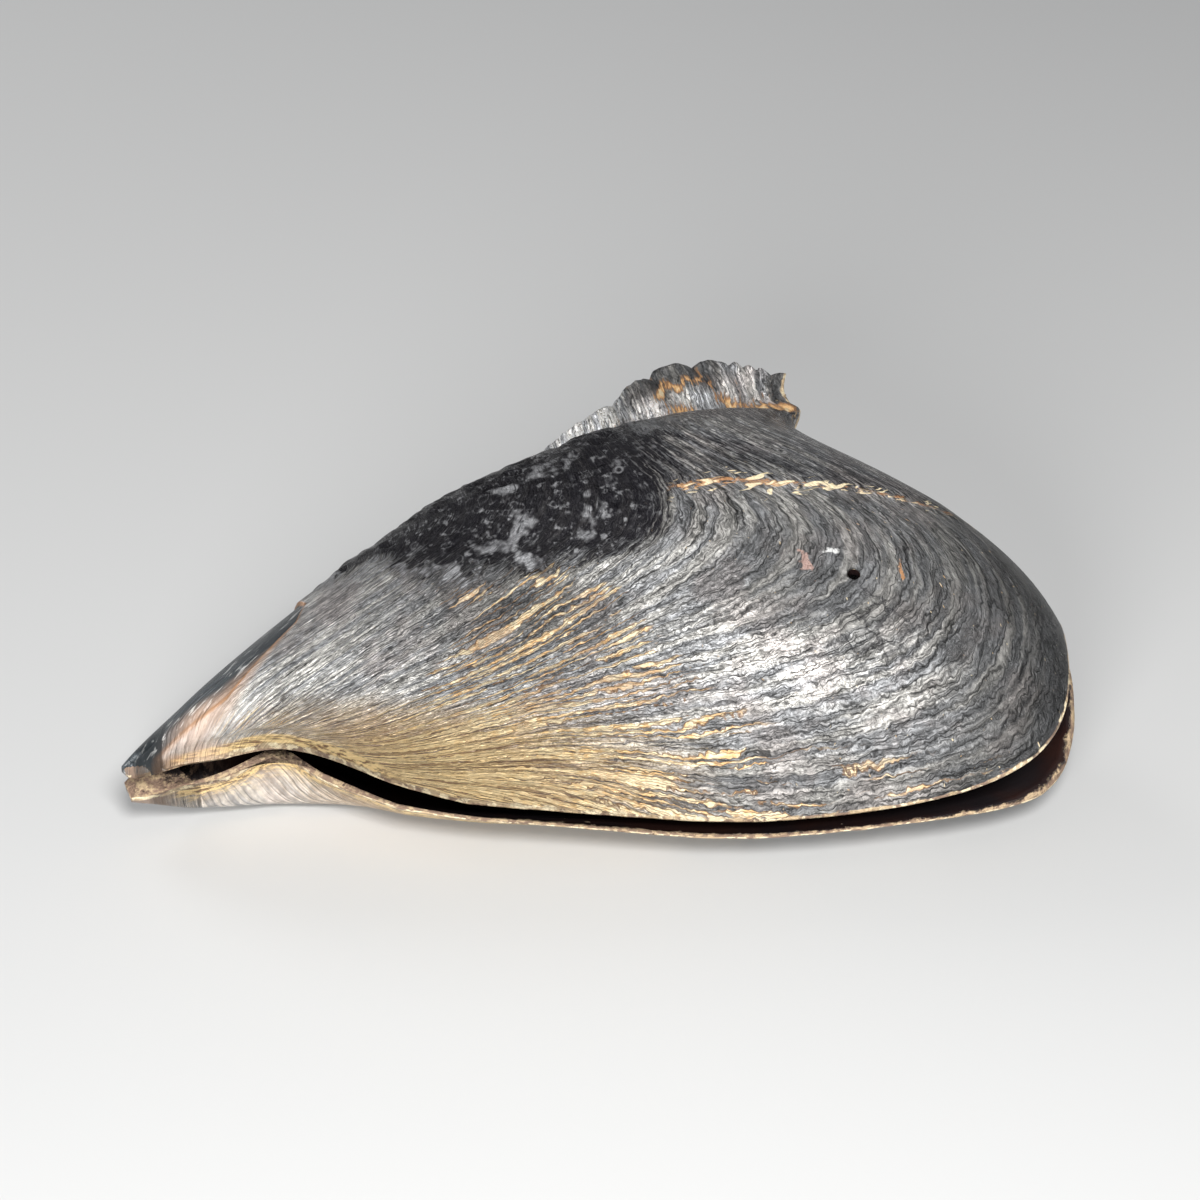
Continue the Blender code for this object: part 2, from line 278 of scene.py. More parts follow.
def dome_height(size):
    """Height of the dome: a root curve that rises from the beak and falls to the rear edge."""
    return DOME_RISE * size**DOME_ROOT * (1.0 - np.minimum(size, 1.0) ** DOME_FALL) ** DOME_END


def section(across, size):
    """(share of the width, share of the height) of a cross-section from foot to belly, as one cubic Bezier.

    It leaves the flange upright, and meets the belly edge at a slope, or square near the beak.
    """
    square = 1.0 - fade(*SQUARE_OVER, size)
    weights = (3.0 * (1.0 - across) ** 2 * across, 3.0 * (1.0 - across) * across**2, across**3)
    along = weights[0] * (-0.01 - 0.03 * square) + weights[1] * (0.52 + 0.40 * square) + weights[2]
    up = weights[0] * (0.95 + 0.15 * square) + weights[1] * (1.30 - 0.10 * square)
    return along, up


def growth(around, age, smallest):
    """(size, place across) of a point on a growth line.

    A growth line is a superellipse in those two: it leaves the back edge, rounds the hind corner and runs
    back beakwards. On its way back it drifts over to the belly edge, which it meets at the notch. Young
    lines have a rounder corner and drift late, and old ones a sharper corner and drift all the way.
    """
    power = 0.5 * (YOUNG_CORNER_POWER + (CORNER_POWER - YOUNG_CORNER_POWER) * fade(0.5, 1.0, age))
    turn = 0.5 * np.pi * around**power / (around**power + (1.0 - around) ** power)
    back = 1.0 - np.abs(np.cos(turn)) ** (1.0 / power)
    size = smallest + (1.0 - smallest) * age * (1.0 - back + NOTCH_SIZE * back**2)
    width = np.maximum(age, 1e-6) ** (WIDTH_GROWTH_YOUNG + WIDTH_GROWTH_MORE * fade(0.35, 0.65, age))
    lateness = DRIFT_LATE_OLD + DRIFT_LATE_MORE * (1.0 - fade(0.0, 0.75, age))
    return size, width * np.sin(turn) ** (1.0 / power) + (1.0 - width) * back**lateness


def lay_out(size, across, flange, inset, rise, base):
    """Points from size and place across: directions and reach give X and Y, the section gives Z."""
    along, up = section(across, size)
    inset_angle = np.degrees(inset / (size * HIND_REACH + inset))
    foot = foot_angle(size) - inset_angle
    belly = belly_angle(size) + inset_angle
    edge = fade(0.72, 1.0, across)
    angle = foot - along * (foot - belly) + (hinge_angle(size) - foot) * flange + notch_angle(size) * edge
    distance = size * (reach(angle) - inset + CREST_EXTRA * flange)
    angle = np.radians(angle)
    return np.stack([distance * np.cos(angle), distance * np.sin(angle), rise * up + base], axis=-1)


def unit(vectors):
    """The same directions, each one long."""
    return vectors / np.maximum(np.linalg.norm(vectors, axis=-1, keepdims=True), 1e-12)


class Skin:
    """One skin of a valve as arrays over its grid: rows of one age, from the back edge round to the beak."""

    def __init__(self, rows, columns, smallest):
        step = np.linspace(0.0, 1.0, rows + 1)[:, None]
        age = step * (1.0 + AGE_CROWDING * (1.0 - step))
        around = np.linspace(0.0, 1.0, columns + 1)[None, :]
        self.age = age + 0.0 * around
        self.around = around + 0.0 * age
        self.size, self.share = growth(self.around, self.age, smallest)

    def measure(self):
        """Normals, distances to the rim, lengths along and widths between growth lines, from the points."""
        by_row = np.gradient(self.points, axis=0)
        by_column = np.gradient(self.points, axis=1)
        self.normal = unit(np.cross(by_column, by_row))
        steps = np.linalg.norm(np.diff(self.points, axis=0), axis=-1)
        to_margin = np.zeros(self.age.shape)
        to_margin[:-1] = np.cumsum(steps[::-1], axis=0)[::-1]
        steps = np.linalg.norm(np.diff(self.points, axis=1), axis=-1)
        self.along = np.zeros(self.age.shape)
        self.along[:, :-1] = np.cumsum(steps[:, ::-1], axis=1)[:, ::-1]
        self.x, self.y = self.points[..., 0] / MM, self.points[..., 1] / MM
        lean = LEAN * (1.0 - fade(30, 150, self.x)) + LEAN_BEAK * (1.0 - fade(10, 60, self.x))
        self.lines = self.age - lean * (np.clip(self.y, -20, 45) - LEAN_ABOUT) * MM / HIND_REACH
        self.spacing = 1.0 / self.steepness(self.lines, by_row, by_column)
        length = np.hypot(self.points[..., 0], self.points[..., 1])
        size = length / HIND_REACH
        turn = np.arctan2(self.points[..., 1], self.points[..., 0])
        turn = turn - np.radians(belly_angle(size) + notch_angle(size))
        above = np.maximum(self.points[..., 2] - SEAM_GAP - DOME_BASE, 0.0)
        self.to_rim = np.minimum(to_margin, np.hypot(length * np.sin(turn), above))

    @staticmethod
    def steepness(field, by_row, by_column):
        """How fast a field changes over the surface: the length of its gradient in the grid's own metric."""
        first, second = np.gradient(field, axis=0), np.gradient(field, axis=1)
        rows, columns = (by_row * by_row).sum(-1), (by_column * by_column).sum(-1)
        mixed = (by_row * by_column).sum(-1)
        area = np.maximum(rows * columns - mixed**2, 1e-18)
        steep = columns * first**2 - 2 * mixed * first * second + rows * second**2
        return np.sqrt(np.maximum(steep, 1e-6) / area)


def outer_skin(edge_thickness):
    """The outside: the dome on its flange. Near the rim its base comes down to a thin edge."""
    skin = Skin(OUTER_ROWS, OUTER_COLUMNS, BEAK_SIZE)
    flange = ramp(FLANGE_SHARE - skin.share) / ramp(FLANGE_SHARE)
    start, end = ramp(-FLANGE_SHARE), ramp(1.0 - FLANGE_SHARE)
    across = (ramp(skin.share - FLANGE_SHARE) - start) / (end - start)
    rise = dome_height(skin.size)
    thinning = 1.0 - fade(0.0, 5.0 * MM, rise * section(across, skin.size)[1])
    base = SEAM_GAP + DOME_BASE - (DOME_BASE - edge_thickness) * thinning
    skin.points = lay_out(skin.size, across, flange, 0.0, rise, base)
    skin.measure()
    return skin


def inner_skin(edge_thickness):
    """The hollow: the same dome, set in by the wall, which thins to the edge at the rim."""
    skin = Skin(INNER_ROWS, INNER_COLUMNS, HOLLOW_FROM)
    height = dome_height(skin.size)
    rise = height**2 / (height + WALL_TOP)
    thickening = fade(0.0, 6.0 * MM, rise * section(skin.share, skin.size)[1])
    inset = edge_thickness + (WALL_SIDE - edge_thickness) * thickening
    skin.points = lay_out(skin.size, skin.share, 0.0, inset, rise, SEAM_GAP)
    skin.measure()
    return skin


def lamellae(skin, count, seed):
    """Overlapping growth layers: a saw wave across the lines whose teeth waver, drift and vary in height."""
    waver = 0.9 * noise(skin.along / (26 * MM), skin.lines * 40, seed) + 0.35 * noise(
        skin.along / (7 * MM), skin.lines * 90, seed + 1
    )
    uneven = noise(skin.lines * count * 0.37, skin.along / (60 * MM), seed + 4)
    phase = skin.lines * count + waver + 1.8 * uneven + 1.6 * noise(skin.lines * 9, 0.0, seed + 2)
    tooth = phase - np.floor(phase)
    height = 0.35 + 0.65 * noise(np.floor(phase) * 3.7, skin.along / (40 * MM), seed + 3)
    return (tooth**1.4 * (1.0 - fade(0.80, 1.0, tooth))) * height


def growth_relief(skin, seed):
    """The growth lines: coarse layers all over, finer ones between them, and a slow swell."""
    x, y = skin.x, skin.y
    strength = 0.22 + 0.75 * fade(176, 212, x) + 0.50 * patch(x, y, (140, 50), (13, 13))
    strength = strength - 0.12 * patch(x, y, (172, 36), (20, 14))
    room = np.clip(skin.spacing / (160 * MM), 0.05, 1.2)
    layers = 0.85 * MM * lamellae(skin, 58, seed) + 0.34 * MM * lamellae(skin, 137, seed + 10)
    swell = 0.9 * MM * (noise(skin.lines * 11, skin.along / (90 * MM), seed + 20) - 0.5)
    return (layers * strength + swell * 0.5) * room


def blister_relief(skin, blister, seed):
    """The dark band's blown scabs and hollows: lumps at two sizes, with a few round hollows among them."""
    lumps = 1.7 * MM * (rough(skin.x / 8, skin.y / 5, seed) - 0.5)
    distance = craters(skin.x / 8.0, skin.y / 6.0, seed + 5)
    hollows = 0.6 * MM * (0.8 * hump(0.36, 0.12, distance) - hump(0.0, 0.26, distance))
    return (lumps + hollows * fade(0.45, 0.6, noise(skin.x / 12, skin.y / 9, seed + 9))) * blister


class Crest:
    """Where the skin belongs to the crest, and how far each place is from the furrows between its lobes."""

    def __init__(self, skin):
        self.inward = skin.share / (FLANGE_SHARE * (1.0 + 0.9 * fade(0.925, 0.995, skin.age)))
        self.mask = (1.0 - fade(0.8, 1.3, self.inward)) * fade(0.62, 0.69, skin.age)
        base = np.clip(self.inward, 0.0, 1.2)
        self.furrow = np.zeros(skin.age.shape)
        for at_edge, at_base, width in GROOVES:
            away = np.abs(skin.age - at_edge - (at_base - at_edge) * base)
            self.furrow = np.maximum(self.furrow, np.exp(-away / width))

    def relief(self, skin):
        """Pillows between the furrows, over a bulge from the free edge to the dome's foot."""
        bulge = np.sin(np.pi * np.clip(self.inward, 0.0, 1.0))
        crumple = rough(skin.age * 70, self.inward * 1.6, 91)
        return self.mask * MM * (1.5 * bulge + 0.7 - 1.9 * self.furrow + 1.6 * (crumple - 0.5))


def valve_masks(skin, crest, lower):
    """Soft fields that place each finish, and the grey tone of the bare shell under them."""
    x, y = skin.x, skin.y
    dark = np.clip(0.5 + (y - height_of(DARK_BORDER, x)) / 20.0, 0.0, 1.0) * (1.0 - crest.mask)
    above_crease = fade(-1.0, 1.5, y - height_of(CREASE, x))
    dark = dark * (1.0 - fade(116, 152, x) * (1.0 - above_crease)) * (1.0 - fade(188, 208, x))
    dark = dark * (1.0 - 0.45 * patch(x, y, (132, 88), (30, 14)))
    blister = (1.0 - fade(112, 142, x)) * fade(20, 44, x) * (1.0 - crest.mask)
    tone = BARE_TONE + 0.14 * hump(24, 30, x) + patches(x, y, TONE_PATCHES)
    tone = tone * (1.0 - 0.30 * fade(178, 200, x)) * (1.0 - 0.55 * fade(205, 228, x))
    tone = tone * (1.0 - 0.3 * fade(6, -6, y)) * (1.0 - 0.34 * (1.0 - fade(80, 130, x)))
    for shades in TONE_SHADES:
        tone = tone * (1.0 + patches(x, y, shades))
    tone = tone + crest.mask * (crest_tone(skin, crest) - tone)
    ochre = fade(6.0, -9.0, y - height_of(OCHRE_TOP, x)) * (0.60 + 0.40 * fade(14, -2, y))
    ochre = ochre * (1.0 - 0.88 * fade(90, 165, x)) * (1.0 - crest.mask)
    belly_rim = np.exp(-((skin.to_rim / (3.5 * MM)) ** 2)) * fade(50, 90, x) * (1.0 - fade(150, 200, x))
    ochre = np.maximum(ochre, 0.75 * belly_rim * (1.0 - crest.mask))
    for place in OCHRE_PATCHES:
        ochre = np.maximum(ochre, patches(x, y, (place,)))
    along_notch = fade(4, 16, x) * (1.0 - fade(52, 84, x))
    lip = np.exp(-((skin.to_rim / (4.5 * MM)) ** 4)) * along_notch
    if lower:
        tongue = np.exp(-((skin.to_rim / (10.0 * MM)) ** 2)) * fade(4, 16, x) * (1.0 - fade(80, 120, x))
        lip = np.maximum(lip, 0.7 * tongue)
    masks = {"tone": tone, "dark": dark, "blister": blister, "ochre": ochre, "lip": lip}
    masks["edge"] = np.exp(-skin.to_rim / (1.1 * MM))
    masks["crinkled"] = 1.0 - 0.6 * patch(x, y, (172, 38), (26, 17)) - 0.35 * fade(185, 210, x)
    # the patch at (158, 18) spreads pale wrinkle ridges into the painted highlight there, as painted glints
    masks["wrinkled"] = 0.35 + 0.65 * (1.0 - fade(100, 150, x)) + 0.5 * patch(x, y, (158, 18), (24, 12))
    masks["ridged"] = 0.35 + 0.65 * fade(150, 195, x) + 0.4 * patch(x, y, (140, 50), (14, 14))
    masks["ridged"] = masks["ridged"] + 0.5 * patch(x, y, (148, 76), (34, 12))
    masks["narrow"] = 1.0 - fade(0.50, 0.85, skin.spacing / HIND_REACH)
    masks["rusty"] = crest.mask * crest_rust(skin, crest)
    masks["crease"] = side_of(x, y, CREASE)
    masks["chip"] = np.minimum(side_of(x, y, CHIP_LINE), (42.5 - x - 0.6 * (y - 36)) / 10.0)
    masks["beak"] = 1.0 - fade(4, 10, x)
    masks["young"] = 1.0 - fade(16, 40, x)
    masks["golden"] = (1.0 - fade(75, 150, x)) * fade(20, 60, x) * (1.0 - fade(3, 15, y + 0.05 * x))
    if lower:
        masks["crease"] = masks["chip"] = np.full(x.shape, -1.0)
        near_belly = fade(0.25, 0.50, skin.share) * (1.0 - fade(14, 24, skin.to_rim / MM))
        masks["young"] = (1.0 - fade(60, 100, x)) * near_belly
        masks["beak"] = 1.0 - fade(6, 17, x)
    return masks


def crest_tone(skin, crest):
    """The crest's grey: beige lobes, darkest along the middle lobes' top edge, and a dark last lobe, with
    painted shade darkening the furrows between the lobes.
    """
    top = (1.0 - fade(0.25, 0.6, crest.inward)) * fade(0.79, 0.83, skin.age)
    top = top * (1.0 - fade(0.935, 0.95, skin.age))
    tone = 0.78 - 0.62 * top - 0.62 * fade(0.984, 0.990, skin.age)
    # painted shade: darker in the furrows between the lobes
    return tone * (1.0 - 0.5 * crest.furrow)


def crest_rust(skin, crest):
    """Rust in the crest's furrows, widening to their feet, and along the top edge of its third lobe."""
    feet = fade(0.45, 1.0, crest.inward) * fade(0.77, 0.80, skin.age)
    wander = 0.30 * (rough(skin.age * 55, 0.0, 97) - 0.5)
    brow = hump(0.36, 0.09, crest.inward + wander) * fade(0.845, 0.860, skin.age)
    brow = brow * (1.0 - fade(0.915, 0.935, skin.age))
    brow = brow * (0.55 + 0.6 * noise(skin.age * 120, crest.inward * 3, 99))
    return np.clip(crest.furrow**0.7 * (0.15 + 0.80 * feet) + 0.65 * brow, 0.0, 1.0)


def spread(points, size, share, lower):
    """Opens the valve about the back edge, and for the lower one mirrors it and moves its edges out."""
    hinge = np.radians(HINGE_ANGLE)
    from_hinge = np.abs(points[..., 0] * np.sin(hinge) - points[..., 1] * np.cos(hinge))
    points = points.copy()
    points[..., 2] += from_hinge * np.tan(np.radians(GAPE))
    if lower:
        points[..., 2] = -points[..., 2] - BEAK_DROP * (1.0 - fade(0.0, 0.45, size))
        points[..., 1] -= LOWER_OVERLAP * fade(0.1, 0.9, share) * (1.0 - 0.7 * fade(0.6, 1.0, size))
        points[..., 0] += LOWER_HIND * fade(0.6, 1.0, size) * (0.2 + 0.8 * fade(0.05, 0.4, share))
    return points


def to_table(points):
    """Points of the shell's own frame, tipped about X by the rest tilt and moved to the beak's place."""
    tilt = np.radians(REST_TILT)
    turned = np.array(points, dtype=float)
    turned[..., 1] = points[..., 1] * np.cos(tilt) - points[..., 2] * np.sin(tilt)
    turned[..., 2] = points[..., 1] * np.sin(tilt) + points[..., 2] * np.cos(tilt)
    return turned + np.array(BEAK_AT)


def sculpt(skin, crest, masks, lower, depth):
    """The outside with its relief: growth lines, blisters, crest, crease, chip and the lip's rolled edge."""
    seed = 200 if lower else 0
    inside_outline = 1.0 - np.exp(-skin.share / 0.05)
    dark = fade(0.35, 0.65, masks["dark"]) * masks["blister"] * inside_outline
    relief = growth_relief(skin, seed) + blister_relief(skin, dark, seed + 40)
    ragged = np.exp(-skin.to_rim / (1.6 * MM))
    relief = relief + 0.5 * MM * ragged * (rough(skin.along / (5 * MM), skin.age, seed + 60) - 0.5)
    lip = fade(10, 24, skin.x) * (1.0 - fade(44, 74, skin.x))
    flare = 0.9 * np.exp(-skin.to_rim / (2.0 * MM)) - 0.5 * hump(6.5, 3.0, skin.to_rim / MM)
    relief = relief + lip * MM * flare
    relief = relief * (1.0 - crest.mask) + crest.relief(skin) * (0.3 if lower else 1.0)
    if not lower:
        crease = 10.0 * masks["crease"]
        near = hump(0.0, 9.0, crease) * fade(118, 136, skin.x) * (1.0 - fade(196, 206, skin.x))
        relief = relief + near * 0.9 * MM * (fade(-1.2, 1.2, crease) - 0.5)
        worn = fade(-0.02, 0.06, masks["chip"]) * fade(5.0, 13.0, skin.points[..., 2] / MM)
        relief = relief - 1.0 * MM * worn
    points = skin.points + skin.normal * (relief * depth)[..., None]
    outward = np.array([-np.sin(np.radians(HINGE_ANGLE)), np.cos(np.radians(HINGE_ANGLE)), 0.0])
    onward = np.array([outward[1], -outward[0], 0.0])
    at_edge = crest.mask * (1.0 - fade(0.0, 1.0, crest.inward)) * MM
    ripple = 1.6 * (rough(skin.age * 60, 0.0, 95) - 0.5) - 0.8 * crest.furrow
    points = points + outward * (at_edge * (0.6 + ripple - 2.4 * lower) * depth)[..., None]
    hind = fade(0.965, 1.0, skin.age) * crest.mask
    hind = hind * (1.6 * fade(0.0, 0.9, crest.inward) - 0.4 - 3.0 * lower)
    points = points + onward * (MM * hind)[..., None]
    if not lower:
        points[..., 0] += 4.8 * MM * fade(0.955, 1.0, skin.age) * hump(0.19, 0.085, skin.share)
    return points


def wear(points, skin, lower):
    """What bent or wore the whole wall, inside and out: lifted lip, the lower valve's tongue, worn beak."""
    near_rim = np.exp(-((skin.to_rim / (9.0 * MM)) ** 2))
    points = points.copy()
    if lower:
        points[..., 1] += 5.5 * MM * near_rim * hump(35.5, 8.0, skin.x)
    else:
        points[..., 2] += 3.0 * MM * near_rim * fade(22, 34, skin.x) * (1.0 - fade(62, 84, skin.x))
    beakward = 1.0 - fade(0, 15, skin.x)
    furrow = hump(0.52, 0.09, skin.share) * (1.0 - fade(4, 9, skin.x))
    points[..., 0] -= MM * (2.8 * beakward - 2.0 * furrow)
    points[..., 2] = SEAM_GAP + (points[..., 2] - SEAM_GAP) * (1.0 - 0.45 * beakward - 0.2 * furrow)
    return points


def rim_of(rows, columns):
    """Rows and columns of the places round a grid, from its pole: back edge, growing edge, beak."""
    back = [(row, 0) for row in range(1, rows + 1)]
    growing = [(rows, column) for column in range(1, columns + 1)]
    beak = [(row, columns) for row in range(rows - 1, 0, -1)]
    return tuple(np.array([(0, 0)] + back + growing + beak).T)


def grid_faces(rows, columns, first):
    """A fan round the pole, then quads, over vertices numbered from first: the pole, then row by row."""
    number = np.zeros((rows + 1, columns + 1), int)
    number[1:] = 1 + np.arange(rows * (columns + 1)).reshape(rows, columns + 1)
    number += first
    quads = np.stack([number[1:-1, :-1], number[2:, :-1], number[2:, 1:], number[1:-1, 1:]], axis=-1)
    fan = np.stack([number[0, :-1], number[1, :-1], number[1, 1:]], axis=-1)
    return number, quads.reshape(-1, 4), fan


def flat(values):
    """A grid's values as the mesh numbers them: the pole once, then every other row."""
    return np.concatenate([values[0, :1], values[1:].reshape(-1, *values.shape[2:])])


def stitch(fine, coarse):
    """Triangles between a fine loop and a coarse one with a quarter of its places."""
    groups = fine.reshape(-1, STITCH)
    following = np.roll(coarse, -1)
    fans = [np.stack([groups[:, k], groups[:, k + 1], coarse], axis=-1) for k in range(STITCH - 1)]
    fans.append(np.stack([groups[:, -1], np.roll(groups[:, 0], -1), coarse], axis=-1))
    fans.append(np.stack([np.roll(groups[:, 0], -1), following, coarse], axis=-1))
    return np.concatenate(fans)


def valve_piece(name, lower, shape):
    """One valve as a closed mesh: sculpted outside, thin edge, hollow, with its masks and growth map."""
    outer, inner = outer_skin(shape.edge_thickness), inner_skin(shape.edge_thickness)
    crest = Crest(outer)
    masks = valve_masks(outer, crest, lower)
    outside = wear(sculpt(outer, crest, masks, lower, shape.relief_depth), outer, lower)
    outside = spread(outside, outer.size, outer.share, lower)
    inside = spread(wear(inner.points, inner, lower), inner.size, inner.share, lower)

    outer_number, outer_quads, outer_fan = grid_faces(OUTER_ROWS, OUTER_COLUMNS, 0)
    rim = rim_of(OUTER_ROWS, OUTER_COLUMNS)
    outer_loop = outer_number[rim]
    outer_count = outer_number.max() + 1
    seam_loop = outer_count + np.arange(len(outer_loop))
    inner_first = outer_count + len(outer_loop)
    inner_number, inner_quads, inner_fan = grid_faces(INNER_ROWS, INNER_COLUMNS, inner_first)
    inner_loop = inner_number[rim_of(INNER_ROWS, INNER_COLUMNS)]

    on_table = to_table(outside)
    if lower:
        on_table[..., 2] = np.maximum(on_table[..., 2], 0.0)
    towards_seam = np.array([0.0, 0.0, shape.edge_thickness if lower else -shape.edge_thickness])
    seam = to_table(outside[rim] + towards_seam)
    vertices = np.concatenate([flat(on_table), seam, flat(to_table(inside))])
    band = np.stack([outer_loop, np.roll(outer_loop, -1), np.roll(seam_loop, -1), seam_loop], axis=-1)
    under = stitch(seam_loop, inner_loop)
    outside_faces = [outer_quads, outer_fan, band[:, ::-1]]
    inside_faces = [inner_quads[:, ::-1], inner_fan[:, ::-1], under[:, ::-1]]
    if lower:
        outside_faces = [faces[:, ::-1] for faces in outside_faces]
        inside_faces = [faces[:, ::-1] for faces in inside_faces]
    faces = [row for group in outside_faces + inside_faces for row in group.tolist()]
    mesh = bpy.data.meshes.new(name)
    mesh.from_pydata(vertices, [], faces)
    slots = np.zeros(len(faces), np.int32)
    slots[sum(len(group) for group in outside_faces) :] = 1
    mesh.polygons.foreach_set("material_index", slots)
    mesh.shade_smooth()

    lay_fields(mesh, outer, inner, masks, rim, lower)
    lay_maps(mesh, outer, inner, rim, lower)
    return mesh


def lay_fields(mesh, outer, inner, masks, rim, lower):
    """The valve's fields, given on the outside, along the rim and on the inside."""
    for name, values in masks.items():
        rim_values, inner_values = values[rim], np.zeros(inner.age.shape)
        if name == "beak":
            rim_values, inner_values = 1.0 - fade(8, 24, outer.x[rim]), 1.0 - fade(8, 24, inner.x)
        elif name == "edge":
            crust_width = (2.4 if lower else 1.4) * MM
            rim_values = np.maximum(rim_values, 0.9)
            inner_values = np.exp(-inner.to_rim / crust_width) * (1.0 - 0.5 * fade(110, 190, inner.x))
        add_attribute(mesh, name, np.concatenate([flat(values), rim_values, flat(inner_values)]))


def lay_maps(mesh, outer, inner, rim, lower):
    """The growth map and the beak's map, in the same order."""
    growth_map = np.stack([outer.along, outer.lines * HIND_REACH], axis=-1) / MAP_UNIT
    beak_map = (outer.x, outer.to_rim / MM) if lower else beak_lines(outer.x, outer.y)
    beak_map = np.stack(beak_map, axis=-1) * MM / MAP_UNIT
    inside = np.stack([inner.around * 2 * HIND_REACH, inner.age * HIND_REACH], axis=-1) / MAP_UNIT
    for name, outside in (("growth", growth_map), ("beak", beak_map)):
        add_map(mesh, name, np.concatenate([flat(outside), outside[rim], flat(inside)]))


def add_attribute(mesh, name, values):
    """A field on the mesh, with a value for each vertex."""
    attribute = mesh.attributes.new(name, "FLOAT", "POINT")
    attribute.data.foreach_set("value", values.astype(np.float32))


def beak_lines(x, y):
    """Places along and across the beak's own fine lines, which leave the lip flat and then steepen."""
    slope = np.tan(np.radians(BEAK_LINES_RISE))
    return x + slope * y, x - y / slope + 18.0 * np.exp(-np.maximum(y, -4.0) / 3.0)


def add_map(mesh, name, places):
    """A UV map: along the fine lines and across them."""
    corners = np.empty(len(mesh.loops), np.int32)
    mesh.loops.foreach_get("vertex_index", corners)
    laid = mesh.uv_layers.new(name=name)
    laid.data.foreach_set("uv", places[corners].astype(np.float32).ravel())


def swollen_band(band, swell):
    """The ligament's own mesh with its corners merged, each point moved out along its normal by the swell."""
    merged = bmesh.new()
    merged.from_mesh(band.data)
    bmesh.ops.remove_doubles(merged, verts=merged.verts, dist=0.001 * MM)
    mesh = bpy.data.meshes.new("ligament_band")
    merged.to_mesh(mesh)
    merged.free()
    places = np.empty(3 * len(mesh.vertices), np.float32)
    normals = np.empty(3 * len(mesh.vertices), np.float32)
    mesh.vertices.foreach_get("co", places)
    mesh.vertex_normals.foreach_get("vector", normals)
    mesh.vertices.foreach_set("co", places + swell * normals)
    mesh.shade_smooth()
    return mesh


def bore_cutter():
    """An upright cylinder through the dome, tipped with the shell."""
    turn = np.linspace(0.0, 2.0 * np.pi, BORE_SIDES, endpoint=False)
    ring = np.stack([np.cos(turn), BORE_OVAL * np.sin(turn)], axis=-1) * BORE_RADIUS + np.array(BORE_AT)
    low = np.column_stack([ring, np.full(BORE_SIDES, 5.0 * MM)])
    high = np.column_stack([ring, np.full(BORE_SIDES, 70.0 * MM)])
    number = np.arange(BORE_SIDES)
    following = np.roll(number, -1)
    sides = np.stack([number, following, following + BORE_SIDES, number + BORE_SIDES], axis=-1)
    caps = [number[::-1].tolist(), (number + BORE_SIDES).tolist()]
    mesh = bpy.data.meshes.new("bore_cutter")
    mesh.from_pydata(to_table(np.concatenate([low, high])), [], sides.tolist() + caps)
    mesh.polygons.foreach_set("material_index", np.ones(len(mesh.polygons), np.int32))
    cutter = bpy.data.objects.new("bore_cutter", mesh)
    bpy.context.scene.collection.objects.link(cutter)
    return cutter


def cut_bore(piece):
    """Cuts the borehole and keeps the result as the piece's own mesh."""
    cutter = bore_cutter()
    cutter.data.materials.append(piece.data.materials[0])
    cutter.data.materials.append(piece.data.materials[1])
    cut = piece.modifiers.new("bore", "BOOLEAN")
    cut.operation = "DIFFERENCE"
    cut.solver = "EXACT"
    cut.object = cutter
    graph = bpy.context.evaluated_depsgraph_get()
    finished = bpy.data.meshes.new_from_object(piece.evaluated_get(graph))
    piece.modifiers.clear()
    piece.data = finished
    bpy.data.objects.remove(cutter)


